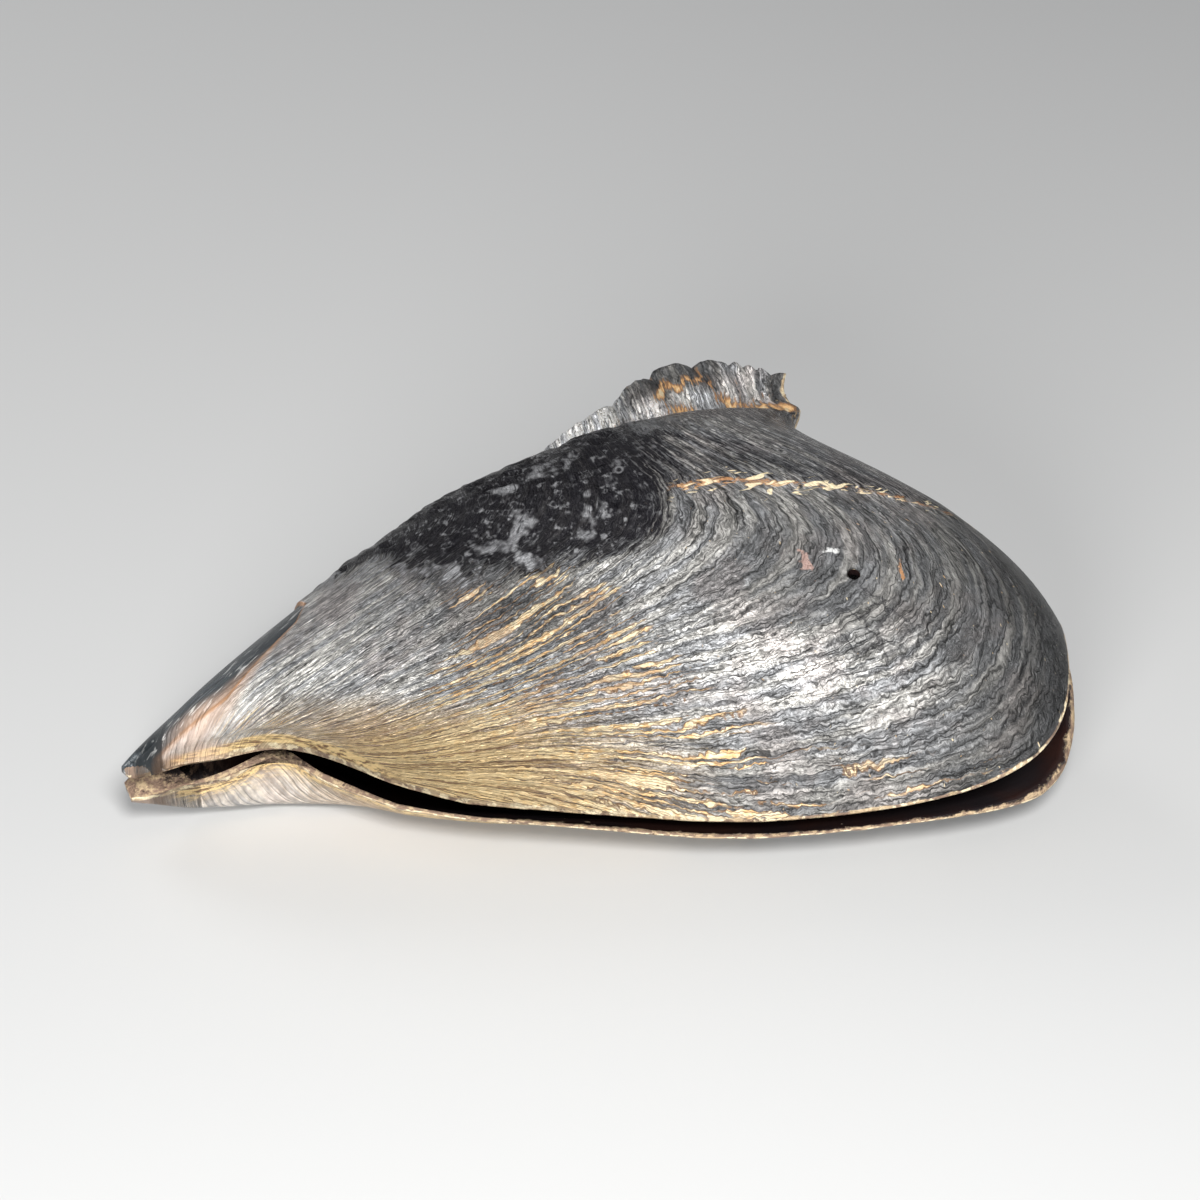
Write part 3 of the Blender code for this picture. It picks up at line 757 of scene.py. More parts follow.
class Nodes:
    """Short ways to add shader nodes to one material."""

    def __init__(self, name):
        self.material = bpy.data.materials.new(name)
        self.material.use_nodes = True
        self.tree = self.material.node_tree
        self.waves = {}

    def fill(self, node, inputs):
        """Links each input of a node to a socket, or gives it a value."""
        for socket, value in inputs.items():
            if isinstance(value, bpy.types.NodeSocket):
                self.tree.links.new(value, node.inputs[socket])
            else:
                node.inputs[socket].default_value = value
        return node

    def add(self, kind, inputs, **settings):
        """A new node with its settings and inputs."""
        node = self.tree.nodes.new(kind)
        for setting, value in settings.items():
            setattr(node, setting, value)
        return self.fill(node, inputs)

    def finished(self, inputs):
        """The material, once the inputs of its shader are filled."""
        self.fill(self.tree.nodes["Principled BSDF"], inputs)
        return self.material

    def math(self, operation, first, second=0.0, third=0.0):
        """One step of arithmetic."""
        return self.add("ShaderNodeMath", {0: first, 1: second, 2: third}, operation=operation).outputs[0]

    def line(self, value, slope, start):
        """A value times a slope, on top of a start."""
        return self.math("MULTIPLY_ADD", value, slope, start)

    def total(self, *parts):
        """The sum of several values, each given with its weight."""
        added = 0.0
        for value, weight in parts:
            added = self.line(value, weight, added)
        return added

    def times(self, *factors):
        """The product of several values."""
        product = factors[0]
        for factor in factors[1:]:
            product = self.math("MULTIPLY", product, factor)
        return product

    def larger(self, first, second):
        """The larger of two values."""
        return self.math("MAXIMUM", first, second)

    def far(self, value, middle=0.0):
        """How far a value lies from its middle, above or below."""
        return self.math("ABSOLUTE", self.math("SUBTRACT", value, middle))

    def ridge(self, value, middle=0.5):
        """1 where a value passes through its middle, falling off to both sides."""
        return self.line(self.far(value, middle), -2.0, 1.0)

    def span(self, value, low, high, to_low=0.0, to_high=1.0):
        """An S-curve from one range of values to another."""
        inputs = {"Value": value, "From Min": low, "From Max": high, "To Min": to_low, "To Max": to_high}
        return self.add("ShaderNodeMapRange", inputs, interpolation_type="SMOOTHSTEP").outputs["Result"]

    def mask(self, name):
        """One of the valve's fields."""
        return self.add("ShaderNodeAttribute", {}, attribute_name=name).outputs["Fac"]

    def mix(self, factor, first, second):
        """The first colour where the factor is 0, and the second where it is 1."""
        inputs = {0: factor, 6: rgba(first), 7: rgba(second)}
        return self.add("ShaderNodeMix", inputs, data_type="RGBA").outputs[2]

    def blend(self, factor, first, second):
        """The same for two plain values."""
        return self.add("ShaderNodeMix", {0: factor, 2: first, 3: second}).outputs[0]

    def tinted(self, colour, tint):
        """A colour times a tint."""
        inputs = {0: 1.0, 6: colour, 7: tint}
        return self.add("ShaderNodeMix", inputs, data_type="RGBA", blend_type="MULTIPLY").outputs[2]

    def bump(self, height, distance):
        """The normals of a surface that a height lifts, in units of a distance."""
        inputs = {"Height": height, "Distance": distance, "Strength": 1.0}
        return self.add("ShaderNodeBump", inputs).outputs["Normal"]

    def own_place(self):
        """Places in the object's own coordinates."""
        return self.add("ShaderNodeTexCoord", {}).outputs["Object"]

    def scaled(self, place, scale):
        """Places times a scale for each axis."""
        return self.add("ShaderNodeMapping", {"Vector": place, "Scale": scale}).outputs["Vector"]

    def framed(self, place, sizes, middle=(0.0, 0.0, 0.0), lean=0.0, tilt=0.0):
        """Places seen from a middle, along axes that lean about Z or tilt about X, in units of its sizes."""
        inputs = {"Vector": place, "Location": middle, "Scale": sizes}
        inputs["Rotation"] = (np.radians(tilt), 0.0, np.radians(lean))
        return self.add("ShaderNodeMapping", inputs, vector_type="TEXTURE").outputs["Vector"]

    def on_shell(self):
        """Places in the shell's own frame, in millimetres from the beak."""
        return self.framed(self.own_place(), (MM, MM, MM), BEAK_AT, tilt=REST_TILT)

    def vector(self, operation, *places):
        """One step of arithmetic with places."""
        return self.add("ShaderNodeVectorMath", dict(enumerate(places)), operation=operation).outputs[0]

    def length(self, place):
        """Distance of a place from the middle of its axes."""
        return self.add("ShaderNodeVectorMath", {0: place}, operation="LENGTH").outputs["Value"]

    def noise(self, place, detail=3.0, roughness=0.5, distortion=0.0, scale=1.0, dimensions="3D"):
        """Noise from 0 to 1."""
        inputs = {"Vector": place, "Scale": scale, "Detail": detail}
        inputs.update({"Roughness": roughness, "Distortion": distortion})
        return self.add("ShaderNodeTexNoise", inputs, noise_dimensions=dimensions).outputs["Fac"]

    def grain(self, scale, detail=3.0, roughness=0.55):
        """Even noise on the object's own coordinates."""
        return self.noise(self.own_place(), detail, roughness, scale=scale)

    def waving(self, uv_map):
        """A map whose lines wave a little from side to side, as etched growth lines do."""
        if uv_map not in self.waves:
            laid = self.add("ShaderNodeUVMap", {}, uv_map=uv_map).outputs["UV"]
            wave = self.noise(self.scaled(laid, (*WAVES, 1.0)), 2.0, 0.6, dimensions="2D")
            aside = self.line(wave, WAVE_HEIGHT, -0.5 * WAVE_HEIGHT)
            aside = self.add("ShaderNodeCombineXYZ", {1: aside}).outputs[0]
            self.waves[uv_map] = self.vector("ADD", laid, aside)
        return self.waves[uv_map]

    def growth_noise(self, along, across, detail=3.0, roughness=0.55, distortion=0.0, uv_map="growth"):
        """Streaks that follow the growth lines: noise on the growth map, stretched along them."""
        place = self.scaled(self.waving(uv_map), (along, across, 1.0))
        return self.noise(place, detail, roughness, distortion, dimensions="2D")

    def streaks(self, young, *sizes, **settings):
        """The same streaks on the growth map, and on the beak's map where the shell is young."""
        old = self.growth_noise(*sizes, **settings)
        return self.blend(young, old, self.growth_noise(*sizes, **settings, uv_map="beak"))

    def layers(self, count, streak, seed):
        """Growth layers, so many to 100 mm: how far across its layer a place lies, and the layer's strength.

        The layers waver a little, and each one's strength is a noise of its own along the line.
        """
        along, across = self.add("ShaderNodeSeparateXYZ", {0: self.waving("growth")}).outputs[:2]
        waver = self.growth_noise(1.7, 4.0 + seed, detail=1.0)
        ripple = self.growth_noise(11.0, 14.0 + seed, detail=1.0)
        uneven = self.growth_noise(3.0, 0.30 * count + seed, detail=1.0)
        jitter = self.growth_noise(55.0, 0.5 * count + seed, detail=1.0)
        phase = self.total((across, count), (waver, 0.07 * count), (ripple, 0.014 * count))
        phase = self.total((phase, 1.0), (uneven, 2.6), (jitter, 0.5))
        row = self.times(self.math("FLOOR", phase), 0.73)
        place = self.add("ShaderNodeCombineXYZ", {0: self.times(along, streak), 1: row}).outputs[0]
        return self.math("FRACT", phase), self.noise(place, 1.0, 0.6, dimensions="2D")

    def spot(self, place, middle, widths, lean=0.0):
        """Distance from the middle of an oval, as a share of its widths; it leans, and is seen square on."""
        return self.length(self.framed(place, (*widths, 1e6), (*middle, 0.0), lean))

    def warped(self, place, frequency, reach):
        """The same places, pushed about by up to so many millimetres by a soft noise."""
        inputs = {"Vector": place, "Scale": frequency, "Detail": 2.0}
        push = self.add("ShaderNodeTexNoise", inputs).outputs["Color"]
        push = self.vector("SUBTRACT", push, (0.5, 0.5, 0.5))
        return self.vector("MULTIPLY_ADD", push, (2.0 * reach,) * 3, place)

    def cells(self, place, size, feature="F1"):
        """Scattered cells: distance from each one's point, or from its border, and a number of its own."""
        node = self.add("ShaderNodeTexVoronoi", {"Vector": place, "Scale": 1.0 / size}, feature=feature)
        return node.outputs["Distance"], node.outputs.get("Color")


def rgba(colour):
    """A colour as a socket takes it: a socket as it is, and three numbers with a fourth added."""
    return colour if isinstance(colour, bpy.types.NodeSocket) else (*colour, 1.0)


class ShellNodes(Nodes):
    """The outside of a valve: the noises that its finishes share, and a method for each finish."""

    def __init__(self, name, colours):
        super().__init__(name)
        self.colours = colours
        self.shell = self.on_shell()
        young = self.mask("young")
        grown = self.math("SUBTRACT", 1.0, young)
        self.grown, self.golden, self.ridges = grown, self.mask("golden"), self.mask("ridged")
        self.bands = self.growth_noise(2.0, 30.0, detail=2.0)
        self.lines = self.streaks(young, 8.0, 120.0, detail=3.0, roughness=0.62, distortion=0.5)
        self.crinkle = self.ridge(self.streaks(young, 26.0, 80.0, detail=2.0, roughness=0.68, distortion=0.9))
        self.crinkled = self.times(self.crinkle, self.mask("crinkled"))
        wrinkle = self.ridge(self.streaks(young, 60.0, 95.0, detail=2.5, roughness=0.75, distortion=1.6))
        self.wrinkle = self.times(self.span(wrinkle, 0.55, 1.0), self.mask("wrinkled"))
        self.blotch = self.grain(75.0, detail=3.5, roughness=0.62)
        self.fleck = self.grain(420.0)
        self.wide, self.wide_strength = self.layers(42.0, 5.0, 1.0)
        self.fine, self.fine_strength = self.layers(130.0, 8.0, 2.0)
        wide_line = self.times(self.span(self.wide, 0.80, 0.95), self.span(self.wide_strength, 0.50, 0.62))
        fine_line = self.times(self.span(self.fine, 0.62, 0.88), self.span(self.fine_strength, 0.40, 0.60))
        self.wide_line = self.times(wide_line, self.ridges, grown)
        self.fine_line = self.times(fine_line, grown)
        border = self.total((self.mask("dark"), 1.0), (self.blotch, 0.9), (self.bands, 0.50))
        border = self.total((border, 1.0), (self.lines, 0.95), (self.fleck, 0.25))
        self.dark = self.span(border, 1.70, 1.92)
        self.blistered = self.times(self.dark, self.mask("blister"))

    def grey_shell(self):
        """Bare shell with its bands, lines and crinkles, dark between the layers and warm at the notch.
        Crinkle and wrinkle ridges are painted paler and their hollows darker: partly pale shell, partly
        painted glints and painted shade.
        """
        colours = self.colours
        tone = self.times(
            self.mask("tone"),
            self.span(self.bands, 0.38, 0.62, 0.76, 1.24),
            # painted glints and shade: crinkle ridges lighten the tone and their hollows darken it
            self.span(self.crinkled, 0.55, 0.98, 0.45, 1.55),
            self.span(self.lines, 0.36, 0.66, 0.58, 1.40),
            self.span(self.fleck, 0.30, 0.70, 0.75, 1.25),
            # painted glints: the wrinkle ridges lighten the tone
            self.line(self.wrinkle, 1.20, 0.46),
            self.line(self.wide_line, -0.70, 1.0),
            self.line(self.fine_line, -0.78, 1.0),
        )
        grey = self.add("ShaderNodeCombineColor", {0: tone, 1: tone, 2: tone}).outputs[0]
        tint = self.mix(self.span(self.bands, 0.38, 0.62), colours.slate_tint, colours.silver_tint)
        tint = self.mix(self.span(self.blotch, 0.45, 0.65, 0.0, 0.6), tint, colours.rosy_tint)
        warm = self.mix(self.larger(self.golden, self.mask("lip")), (1.0, 1.0, 1.0), colours.warm_tint)
        base = self.tinted(self.tinted(grey, tint), warm)
        gilt = self.times(self.golden, self.span(self.lines, 0.42, 0.54, 0.0, 0.92))
        return self.mix(gilt, base, colours.gold)

    def flakes(self, base):
        """Ochre flakes along the layers, each with a painted shadow in deep ochre along its raised edges,
        split by the fine layers, and pale chips.
        """
        colours = self.colours
        groups = self.growth_noise(1.2, 24.0, detail=2.0, roughness=0.6)
        field = self.times(self.mask("ochre"), self.span(groups, 0.42, 0.54, 0.10, 1.50))
        field = self.math("MINIMUM", field, 1.0)
        wide_blade = self.total((self.ridge(self.wide, 0.45), 1.0), (self.wide_strength, 1.3))
        fine_blade = self.total((self.ridge(self.fine, 0.45), 1.0), (self.fine_strength, 1.3))
        blade = self.blend(self.mask("narrow"), fine_blade, wide_blade)
        blade = self.total((blade, 1.0), (field, 0.70), (self.fleck, 0.60))
        present = self.times(self.span(field, 0.08, 0.20), self.grown)
        depth = self.span(self.golden, 0.0, 1.0, -0.7, -0.35)
        split = self.line(self.span(self.fine, 0.60, 0.82), depth, 1.0)
        stroke = self.times(self.span(blade, 1.97, 2.05), present, split)
        chips = self.span(self.growth_noise(70.0, 90.0, detail=1.0), 0.79, 0.83, 0.0, 0.75)
        self.stroke = self.larger(stroke, self.times(chips, self.ridges))
        # painted shadow: a deep-ochre band along both sides of each raised flake
        outline = self.times(self.span(blade, 1.80, 1.92, 0.0, 0.8), present)
        gap = self.times(self.span(blade, 1.66, 1.45, 0.0, 0.7), self.golden)
        base = self.mix(self.larger(outline, gap), base, colours.ochre_deep)
        grit = self.span(self.growth_noise(50.0, 105.0, detail=1.5, roughness=0.7), 0.50, 0.60, 0.0, 0.6)
        base = self.mix(self.times(grit, self.golden), base, colours.ochre_deep)
        dusty = self.total((self.fleck, 1.0), (self.lines, 0.6))
        flake = self.mix(self.span(dusty, 0.66, 0.86), colours.ochre, colours.cream)
        flake = self.mix(self.span(self.blotch, 0.50, 0.60, 0.0, 0.45), flake, colours.peach)
        flake = self.mix(self.times(self.golden, 0.75), flake, colours.gold)
        return self.mix(self.stroke, base, flake)

    def dark_band(self, base):
        """The dark stretch along the back, with ringed scabs and foamy patches where it has blistered. The
        scabs' pale rings and flecks are partly grey crust, partly painted glints on the blisters.
        """
        colours = self.colours
        streaked = self.total((self.mask("blister"), 1.0), (self.lines, -1.6), (1.3, 1.0))
        black = self.times(self.dark, self.math("MINIMUM", streaked, 0.97))
        base = self.mix(black, base, colours.black_shell)
        pit, kind = self.cells(self.warped(self.shell, 0.25, 2.5), 5.0)
        ring = self.times(self.span(pit, 0.22, 0.32), self.span(pit, 0.42, 0.30), self.span(kind, 0.45, 0.55))
        pit, kind = self.cells(self.warped(self.shell, 0.4, 1.5), 2.2)
        small_ring = self.times(self.span(pit, 0.15, 0.28), self.span(pit, 0.44, 0.30))
        small_ring = self.times(small_ring, self.span(kind, 0.55, 0.60))
        # the rings and flecks here are partly grey crust, partly painted glints on the blisters' rims
        scab = self.total((ring, 0.6), (small_ring, 0.6), (self.span(self.fleck, 0.55, 0.75), 0.3))
        scab = self.times(scab, self.span(self.lines, 0.44, 0.60, 0.2, 1.0))
        # painted glints: pale flecks added as highlight specks on the blisters
        scab = self.total((scab, 0.75), (self.span(self.fleck, 0.60, 0.70), 0.6))
        base = self.mix(self.times(self.blistered, scab), base, colours.foam)
        foam = self.times(self.span(self.blotch, 0.57, 0.64), self.span(self.crinkle, 0.5, 0.85, 0.10, 0.95))
        return self.mix(self.times(self.blistered, foam), base, colours.foam)

    def rusty_crest(self, base):
        """Rust in the crest's furrows: brown where it is thin, then orange, ochre and cream."""
        colours, rusty = self.colours, self.mask("rusty")
        rust = self.total((rusty, 1.0), (self.lines, 1.4), (self.crinkle, 0.3), (self.fleck, 0.5))
        rust = self.times(rust, self.span(rusty, 0.02, 0.12, 0.6, 1.0))
        base = self.mix(self.span(rust, 1.42, 1.60, 0.0, 0.8), base, colours.ochre_deep)
        base = self.mix(self.span(rust, 1.52, 1.72), base, colours.rust)
        base = self.mix(self.span(rust, 1.64, 1.84), base, colours.ochre)
        return self.mix(self.span(rust, 1.86, 2.05), base, colours.cream)

    def stained_rim(self, base):
        """The fibrous golden lip, the brown tip of the beak and the pale broken edge."""
        colours = self.colours
        fibres = self.noise(self.scaled(self.shell, (0.12, 1.1, 1.1)), 3.0, 0.6)
        golden = self.total((self.mask("lip"), 1.0), (fibres, 0.5), (self.fleck, 0.2))
        lip = self.mix(self.span(fibres, 0.38, 0.56), colours.ochre_deep, colours.gold)
        base = self.mix(self.span(golden, 0.75, 1.15), base, lip)
        brown = self.total((self.mask("beak"), 0.9), (self.lines, 0.7), (self.blotch, 1.0), (self.fleck, 0.4))
        base = self.mix(self.span(brown, 1.45, 1.85, 0.0, 0.9), base, colours.beak)
        chalk = self.grain(240.0)
        edge = self.total((self.mask("edge"), 1.0), (self.lines, 0.6), (chalk, 0.8))
        rim = self.mix(self.span(chalk, 0.44, 0.56), colours.beak, colours.edge)
        rim = self.mix(self.span(self.fleck, 0.48, 0.58), rim, colours.cream)
        return self.mix(self.span(edge, 1.25, 1.50), base, rim)

    def relief(self):
        """The fine relief, in millimetres."""
        calm = self.line(self.blistered, -0.75, 1.0)
        return self.total(
            (self.times(self.span(self.wide, 1.0, 0.85), self.wide, self.ridges), 0.16),
            (self.times(self.fine_line, calm), -0.16),
            (self.times(self.wide_line, calm), -0.20),
            (self.bands, 1.3),
            (self.times(self.lines, calm), 0.40),
            (self.crinkled, 0.24),
            (self.wrinkle, 0.30),
            (self.fleck, 0.16),
            (self.stroke, 0.28),
            (self.times(self.blistered, self.blotch), 1.6),
        )

    def worn_strip(self, base, x, streaked):
        """The polished strip beside the beak, its pale streaks, the glow along it and its rusty line."""
        colours, chip = self.colours, self.mask("chip")
        streak = self.noise(self.framed(self.shell, (9.0, 0.9, 2.5), lean=48.0), 4.0, distortion=0.6)
        streak = self.total((streak, 1.0), (self.far(chip, 0.35), -0.18))
        strip = self.mix(self.span(streak, 0.54, 0.66), colours.worn, colours.white)
        base = self.mix(self.times(self.span(chip, -0.01, 0.02), self.span(x, 43.5, 42.5)), base, strip)
        glow = self.math("DIVIDE", self.far(chip, -0.03), self.span(x, 42.0, 14.0, 0.12, 0.60))
        glow = self.times(self.span(glow, 1.0, 0.1), self.span(x, 44.0, 36.0), self.span(x, 6.0, 20.0))
        base = self.mix(self.times(glow, self.span(streaked, 0.3, 0.7, 0.35, 0.95)), base, colours.peach)
        line = self.total((self.far(chip), 1.0), (self.fleck, 0.06))
        line = self.times(self.span(line, 0.10, 0.04), self.span(x, 44.5, 43.0))
        return self.mix(self.times(line, self.span(x, 8.0, 30.0, 0.3, 0.9)), base, colours.rust)

    def flaming_crease(self, base, x):
        """The crease: a rusty thread from which pale tufts flare. Also returns where it is."""
        colours, crease = self.colours, self.mask("crease")
        tuft = self.noise(self.framed(self.shell, (5.0, 1.3, 3.0), lean=14.0), 3.0, distortion=0.8)
        flame = self.total((tuft, 1.0), (self.far(crease, -0.05), -0.55), (self.fleck, 0.12))
        flame = self.total((flame, 1.0), (self.span(x, 150.0, 175.0), -0.07))
        thread = self.total((self.far(crease), 1.0), (tuft, 0.22), (self.fleck, 0.16))
        mark = self.larger(self.span(flame, 0.51, 0.56), self.span(thread, 0.22, 0.16))
        mark = self.times(mark, self.span(x, 130.0, 134.0), self.span(x, 203.0, 198.0))
        pale = self.mix(self.span(tuft, 0.50, 0.62), colours.rust, colours.cream)
        return self.mix(mark, base, pale), mark

    def single_marks(self, base, streaked):
        """Cracks, coloured spots, a ringed pit and a dark one. Also returns the pits' height."""
        colours = self.colours
        border, _ = self.cells(self.warped(self.shell, 0.3, 2.0), 7.0, "DISTANCE_TO_EDGE")
        crack = self.times(self.span(border, 0.055, 0.025), self.span(streaked, 0.42, 0.54, 0.0, 0.8))
        crack = self.times(crack, self.span(self.spot(self.shell, *CRACKS), 1.0, 0.6))
        base = self.mix(crack, base, colours.black_shell)
        for middle, widths, lean, colour in SPOTS:
            away = self.spot(self.shell, middle, widths, lean)
            away = self.total((away, 1.0), (self.fleck, 4.5), (streaked, 1.0))
            base = self.mix(self.span(away, 3.6, 3.1, 0.0, 0.85), base, getattr(colours, colour))
        ring = self.total((self.spot(self.shell, *RINGED_PIT), 1.0), (self.fleck, 0.8), (streaked, -0.8))
        ringed = self.times(self.span(ring, 0.5, 0.8), self.span(ring, 1.3, 0.9, 0.0, 0.6))
        base = self.mix(ringed, base, colours.foam)
        hole = self.span(self.spot(self.shell, *DARK_PIT), 1.0, 0.6)
        base = self.mix(hole, base, colours.black_shell)
        return base, self.total((hole, -0.5), (self.span(ring, 0.8, 0.5), -0.5))


def weathered_shell(name, colours, marks):
    """The outside: one finish over the other, each placed by its field and broken up by noise."""
    made = ShellNodes(name, colours)
    base = made.dark_band(made.flakes(made.grey_shell()))
    base = made.stained_rim(made.rusty_crest(base))
    height = made.relief()
    if marks:
        x = made.add("ShaderNodeSeparateXYZ", {0: made.shell}).outputs[0]
        streaked = made.growth_noise(9.0, 60.0, uv_map="beak")
        base, crease = made.flaming_crease(made.worn_strip(base, x, streaked), x)
        base, pits = made.single_marks(base, streaked)
        height = made.total((height, 1.0), (crease, 0.25), (pits, 1.0))
    gloss = made.total((made.lines, 0.20), (made.fleck, 0.12), (made.stroke, 0.15), (made.dark, -0.06))
    gloss = made.total((gloss, 1.0), (0.16, 1.0))
    inputs = {"Base Color": base, "Roughness": gloss, "Normal": made.bump(height, MM)}
    inputs["Specular IOR Level"] = made.line(made.dark, -0.24, 0.42)
    return made.finished(inputs)


def glossy_inside(name, colours):
    """The inside: near-black and glossy, red-brown in places, with a crust at its rim and in the beak."""
    made = Nodes(name)
    beak = made.mask("beak")
    crust = made.grain(500.0, detail=4.0, roughness=0.7)
    chalk = made.grain(150.0, detail=4.0, roughness=0.7)
    rim = made.span(made.total((made.mask("edge"), 1.0), (crust, 0.8), (chalk, 1.2)), 1.50, 1.75)
    colour = made.mix(made.span(made.grain(45.0), 0.4, 0.65), colours.inside_dark, colours.inside_red)
    colour = made.mix(beak, colour, made.mix(made.span(crust, 0.48, 0.62), colours.inside_dark, colours.beak))
    colour = made.mix(rim, colour, made.mix(made.span(crust, 0.46, 0.60), colours.beak, colours.edge))
    crusted = made.times(crust, made.larger(beak, rim))
    height = made.total((made.growth_noise(1.5, 40.0), 0.15), (crusted, 1.2))
    inputs = {"Base Color": colour, "Normal": made.bump(height, MM), "Specular IOR Level": 0.4}
    inputs["Roughness"] = made.total((beak, 0.45), (rim, 0.40), (0.26, 1.0))
    return made.finished(inputs)


def dried_horn(name, colours):
    """The ligament: dry brown horn with a fibrous grain."""
    made = Nodes(name)
    fibres = made.grain(260.0, detail=4.0)
    colour = made.mix(made.span(fibres, 0.35, 0.7), colours.horn_dark, colours.horn)
    return made.finished({"Base Color": colour, "Roughness": 0.5, "Normal": made.bump(fibres, 0.12 * MM)})


def colour_property(name, description, default):
    """A colour with its name, description and default."""
    return bpy.props.FloatVectorProperty(
        name=name, description=description, default=default, subtype="COLOR", size=3, min=0.0, max=1.0
    )


class PenShellShape(bpy.types.PropertyGroup):
    edge_thickness: bpy.props.FloatProperty(
        name="Edge thickness", description="Thickness of a valve at its rim", default=0.7 * MM, unit="LENGTH"
    )
    ligament_swell: bpy.props.FloatProperty(
        name="Ligament swell", description="Bulge between the valves", default=0.8 * MM, unit="LENGTH"
    )
    relief_depth: bpy.props.FloatProperty(
        name="Relief", description="Depth of the relief: 1 as it grew", default=1.0, subtype="FACTOR"
    )


class PenShellColours(bpy.types.PropertyGroup):
    slate_tint: colour_property("Slate tint", "Tint of the dark streaks", (0.97, 0.98, 1.0))
    silver_tint: colour_property("Silver tint", "Tint of the pale streaks", (1.0, 0.97, 0.91))
    ochre_deep: colour_property("Deep ochre", "Shaded part of the flakes", (0.24, 0.13, 0.06))
    ochre: colour_property("Ochre", "Main colour of the flakes", (0.90, 0.57, 0.27))
    cream: colour_property("Cream", "Palest part of the flakes", (0.97, 0.82, 0.55))
    warm_tint: colour_property("Warm tint", "Stain of the lip and of the flank beside it", (1.0, 0.78, 0.58))
    rosy_tint: colour_property("Rosy tint", "Faint pink of some patches", (1.0, 0.90, 0.86))
    gold: colour_property("Gold", "Ochre of the lip at the notch", (1.0, 0.74, 0.36))
    pink: colour_property("Pink", "Pink patch beside the borehole", (0.40, 0.26, 0.22))
    black_shell: colour_property("Black shell", "Bare shell of the dark band", (0.010, 0.009, 0.012))
    foam: colour_property("Foam", "Grey scabs in the dark band", (0.36, 0.36, 0.37))
    rust: colour_property("Rust", "Orange-brown lines and marks", (0.50, 0.25, 0.11))
    peach: colour_property("Peach", "Glow beside the worn strip", (0.62, 0.42, 0.30))
    worn: colour_property("Worn strip", "Polished strip beside the beak", (0.06, 0.07, 0.077))
    white: colour_property("White", "Chalky streaks and spots", (0.72, 0.72, 0.70))
    beak: colour_property("Beak", "Brown tips of the beaks", (0.30, 0.20, 0.14))
    edge: colour_property("Edge", "Pale broken edge", (0.62, 0.46, 0.28))
    inside_dark: colour_property("Inside", "Glossy inside", (0.012, 0.009, 0.010))
    inside_red: colour_property("Inside glow", "Red-brown of the thin inside", (0.024, 0.011, 0.009))
    horn_dark: colour_property("Dark horn", "Dark fibres of the ligament", (0.012, 0.008, 0.006))
    horn: colour_property("Horn", "Pale fibres of the ligament", (0.06, 0.035, 0.02))
    floor: colour_property("Floor", "The plain floor", (0.70, 0.70, 0.69))


def add_piece(mesh, finishes, node):
    """Links a finished mesh, gives it its materials, and lets it stand for its solid."""
    piece = bpy.data.objects.new(mesh.name, mesh)
    bpy.context.scene.collection.objects.link(piece)
    for finish in finishes:
        piece.data.materials.append(finish)
    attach(piece, "root")
    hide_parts(node)
    return piece


def valve_finishes(name, marks):
    """The two materials of a valve: its outside and its inside."""
    colours = bpy.context.scene.pen_shell_colours
    return weathered_shell("weathered_" + name, colours, marks), glossy_inside("inside_" + name, colours)


class PENSHELL_OT_upper_valve(bpy.types.Operator):
    """Builds the upper (left) valve with its borehole"""

    bl_idname = "penshell.upper_valve"
    bl_label = "Upper valve"

    def execute(self, context):
        mesh = valve_piece("upper_valve", False, context.scene.pen_shell_shape)
        piece = add_piece(mesh, valve_finishes("upper", True), "left_valve")
        cut_bore(piece)
        return {"FINISHED"}


class PENSHELL_OT_lower_valve(bpy.types.Operator):
    """Builds the lower (right) valve"""

    bl_idname = "penshell.lower_valve"
    bl_label = "Lower valve"

    def execute(self, context):
        mesh = valve_piece("lower_valve", True, context.scene.pen_shell_shape)
        add_piece(mesh, valve_finishes("lower", False), "right_valve")
        return {"FINISHED"}


class PENSHELL_OT_ligament(bpy.types.Operator):
    """Builds the ligament, which fills the gap between the valves' back edges"""

    bl_idname = "penshell.ligament"
    bl_label = "Ligament"

    def execute(self, context):
        mesh = swollen_band(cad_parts["ligament"], context.scene.pen_shell_shape.ligament_swell)
        finish = dried_horn("dried_horn", context.scene.pen_shell_colours)
        add_piece(mesh, [finish], "ligament")
        return {"FINISHED"}


CAMERA_TARGET = (114.4 * MM, 39.2 * MM, 20.0 * MM)  # in the shell's own frame
CAMERA_RISE = 32.6
CAMERA_DISTANCE = 0.9
CAMERA_LENS = 110.9  # millimetres, on a sensor of CAMERA_SENSOR
CAMERA_SENSOR = 36.0
LAMPS = (  # name, place, width and power
    ("key", (0.10, -0.80, 0.80), 0.30, 10.4),
    ("front", (-0.20, -1.05, 0.40), 0.4, 8.4),
    ("back", (-0.62, 0.62, 0.66), 0.5, 1.8),
)
SKY_LIGHT, SKY_SEEN = 0.20, 0.88  # strength of the sky as a light, and as the camera sees it
FLOOR_HALF = 3.0
FLOOR_GLOW, FLOOR_GLOW_OVER = 0.62, (0.6, 1.8)  # the floor's glow, and distances over which it sets in


def add_lamp(name, place, width, power, target):
    """A round lamp that looks at the target."""
    lamp = bpy.data.lights.new(name, "AREA")
    lamp.shape = "DISK"
    lamp.size = width
    lamp.energy = power
    holder = bpy.data.objects.new(name, lamp)
    bpy.context.scene.collection.objects.link(holder)
    holder.location = place
    holder.rotation_euler = (Vector(target) - Vector(place)).to_track_quat("-Z", "Y").to_euler()


def add_camera(target):
    """The camera stands in front of the belly edge and looks down on the upper valve."""
    rise = np.radians(CAMERA_RISE)
    place = target + CAMERA_DISTANCE * Vector((0.0, -np.cos(rise), np.sin(rise)))
    data = bpy.data.cameras.new("camera")
    data.lens = CAMERA_LENS
    data.sensor_width = CAMERA_SENSOR
    camera = bpy.data.objects.new("camera", data)
    bpy.context.scene.collection.objects.link(camera)
    camera.location = place
    camera.rotation_euler = (target - place).to_track_quat("-Z", "Y").to_euler()
    bpy.context.scene.camera = camera


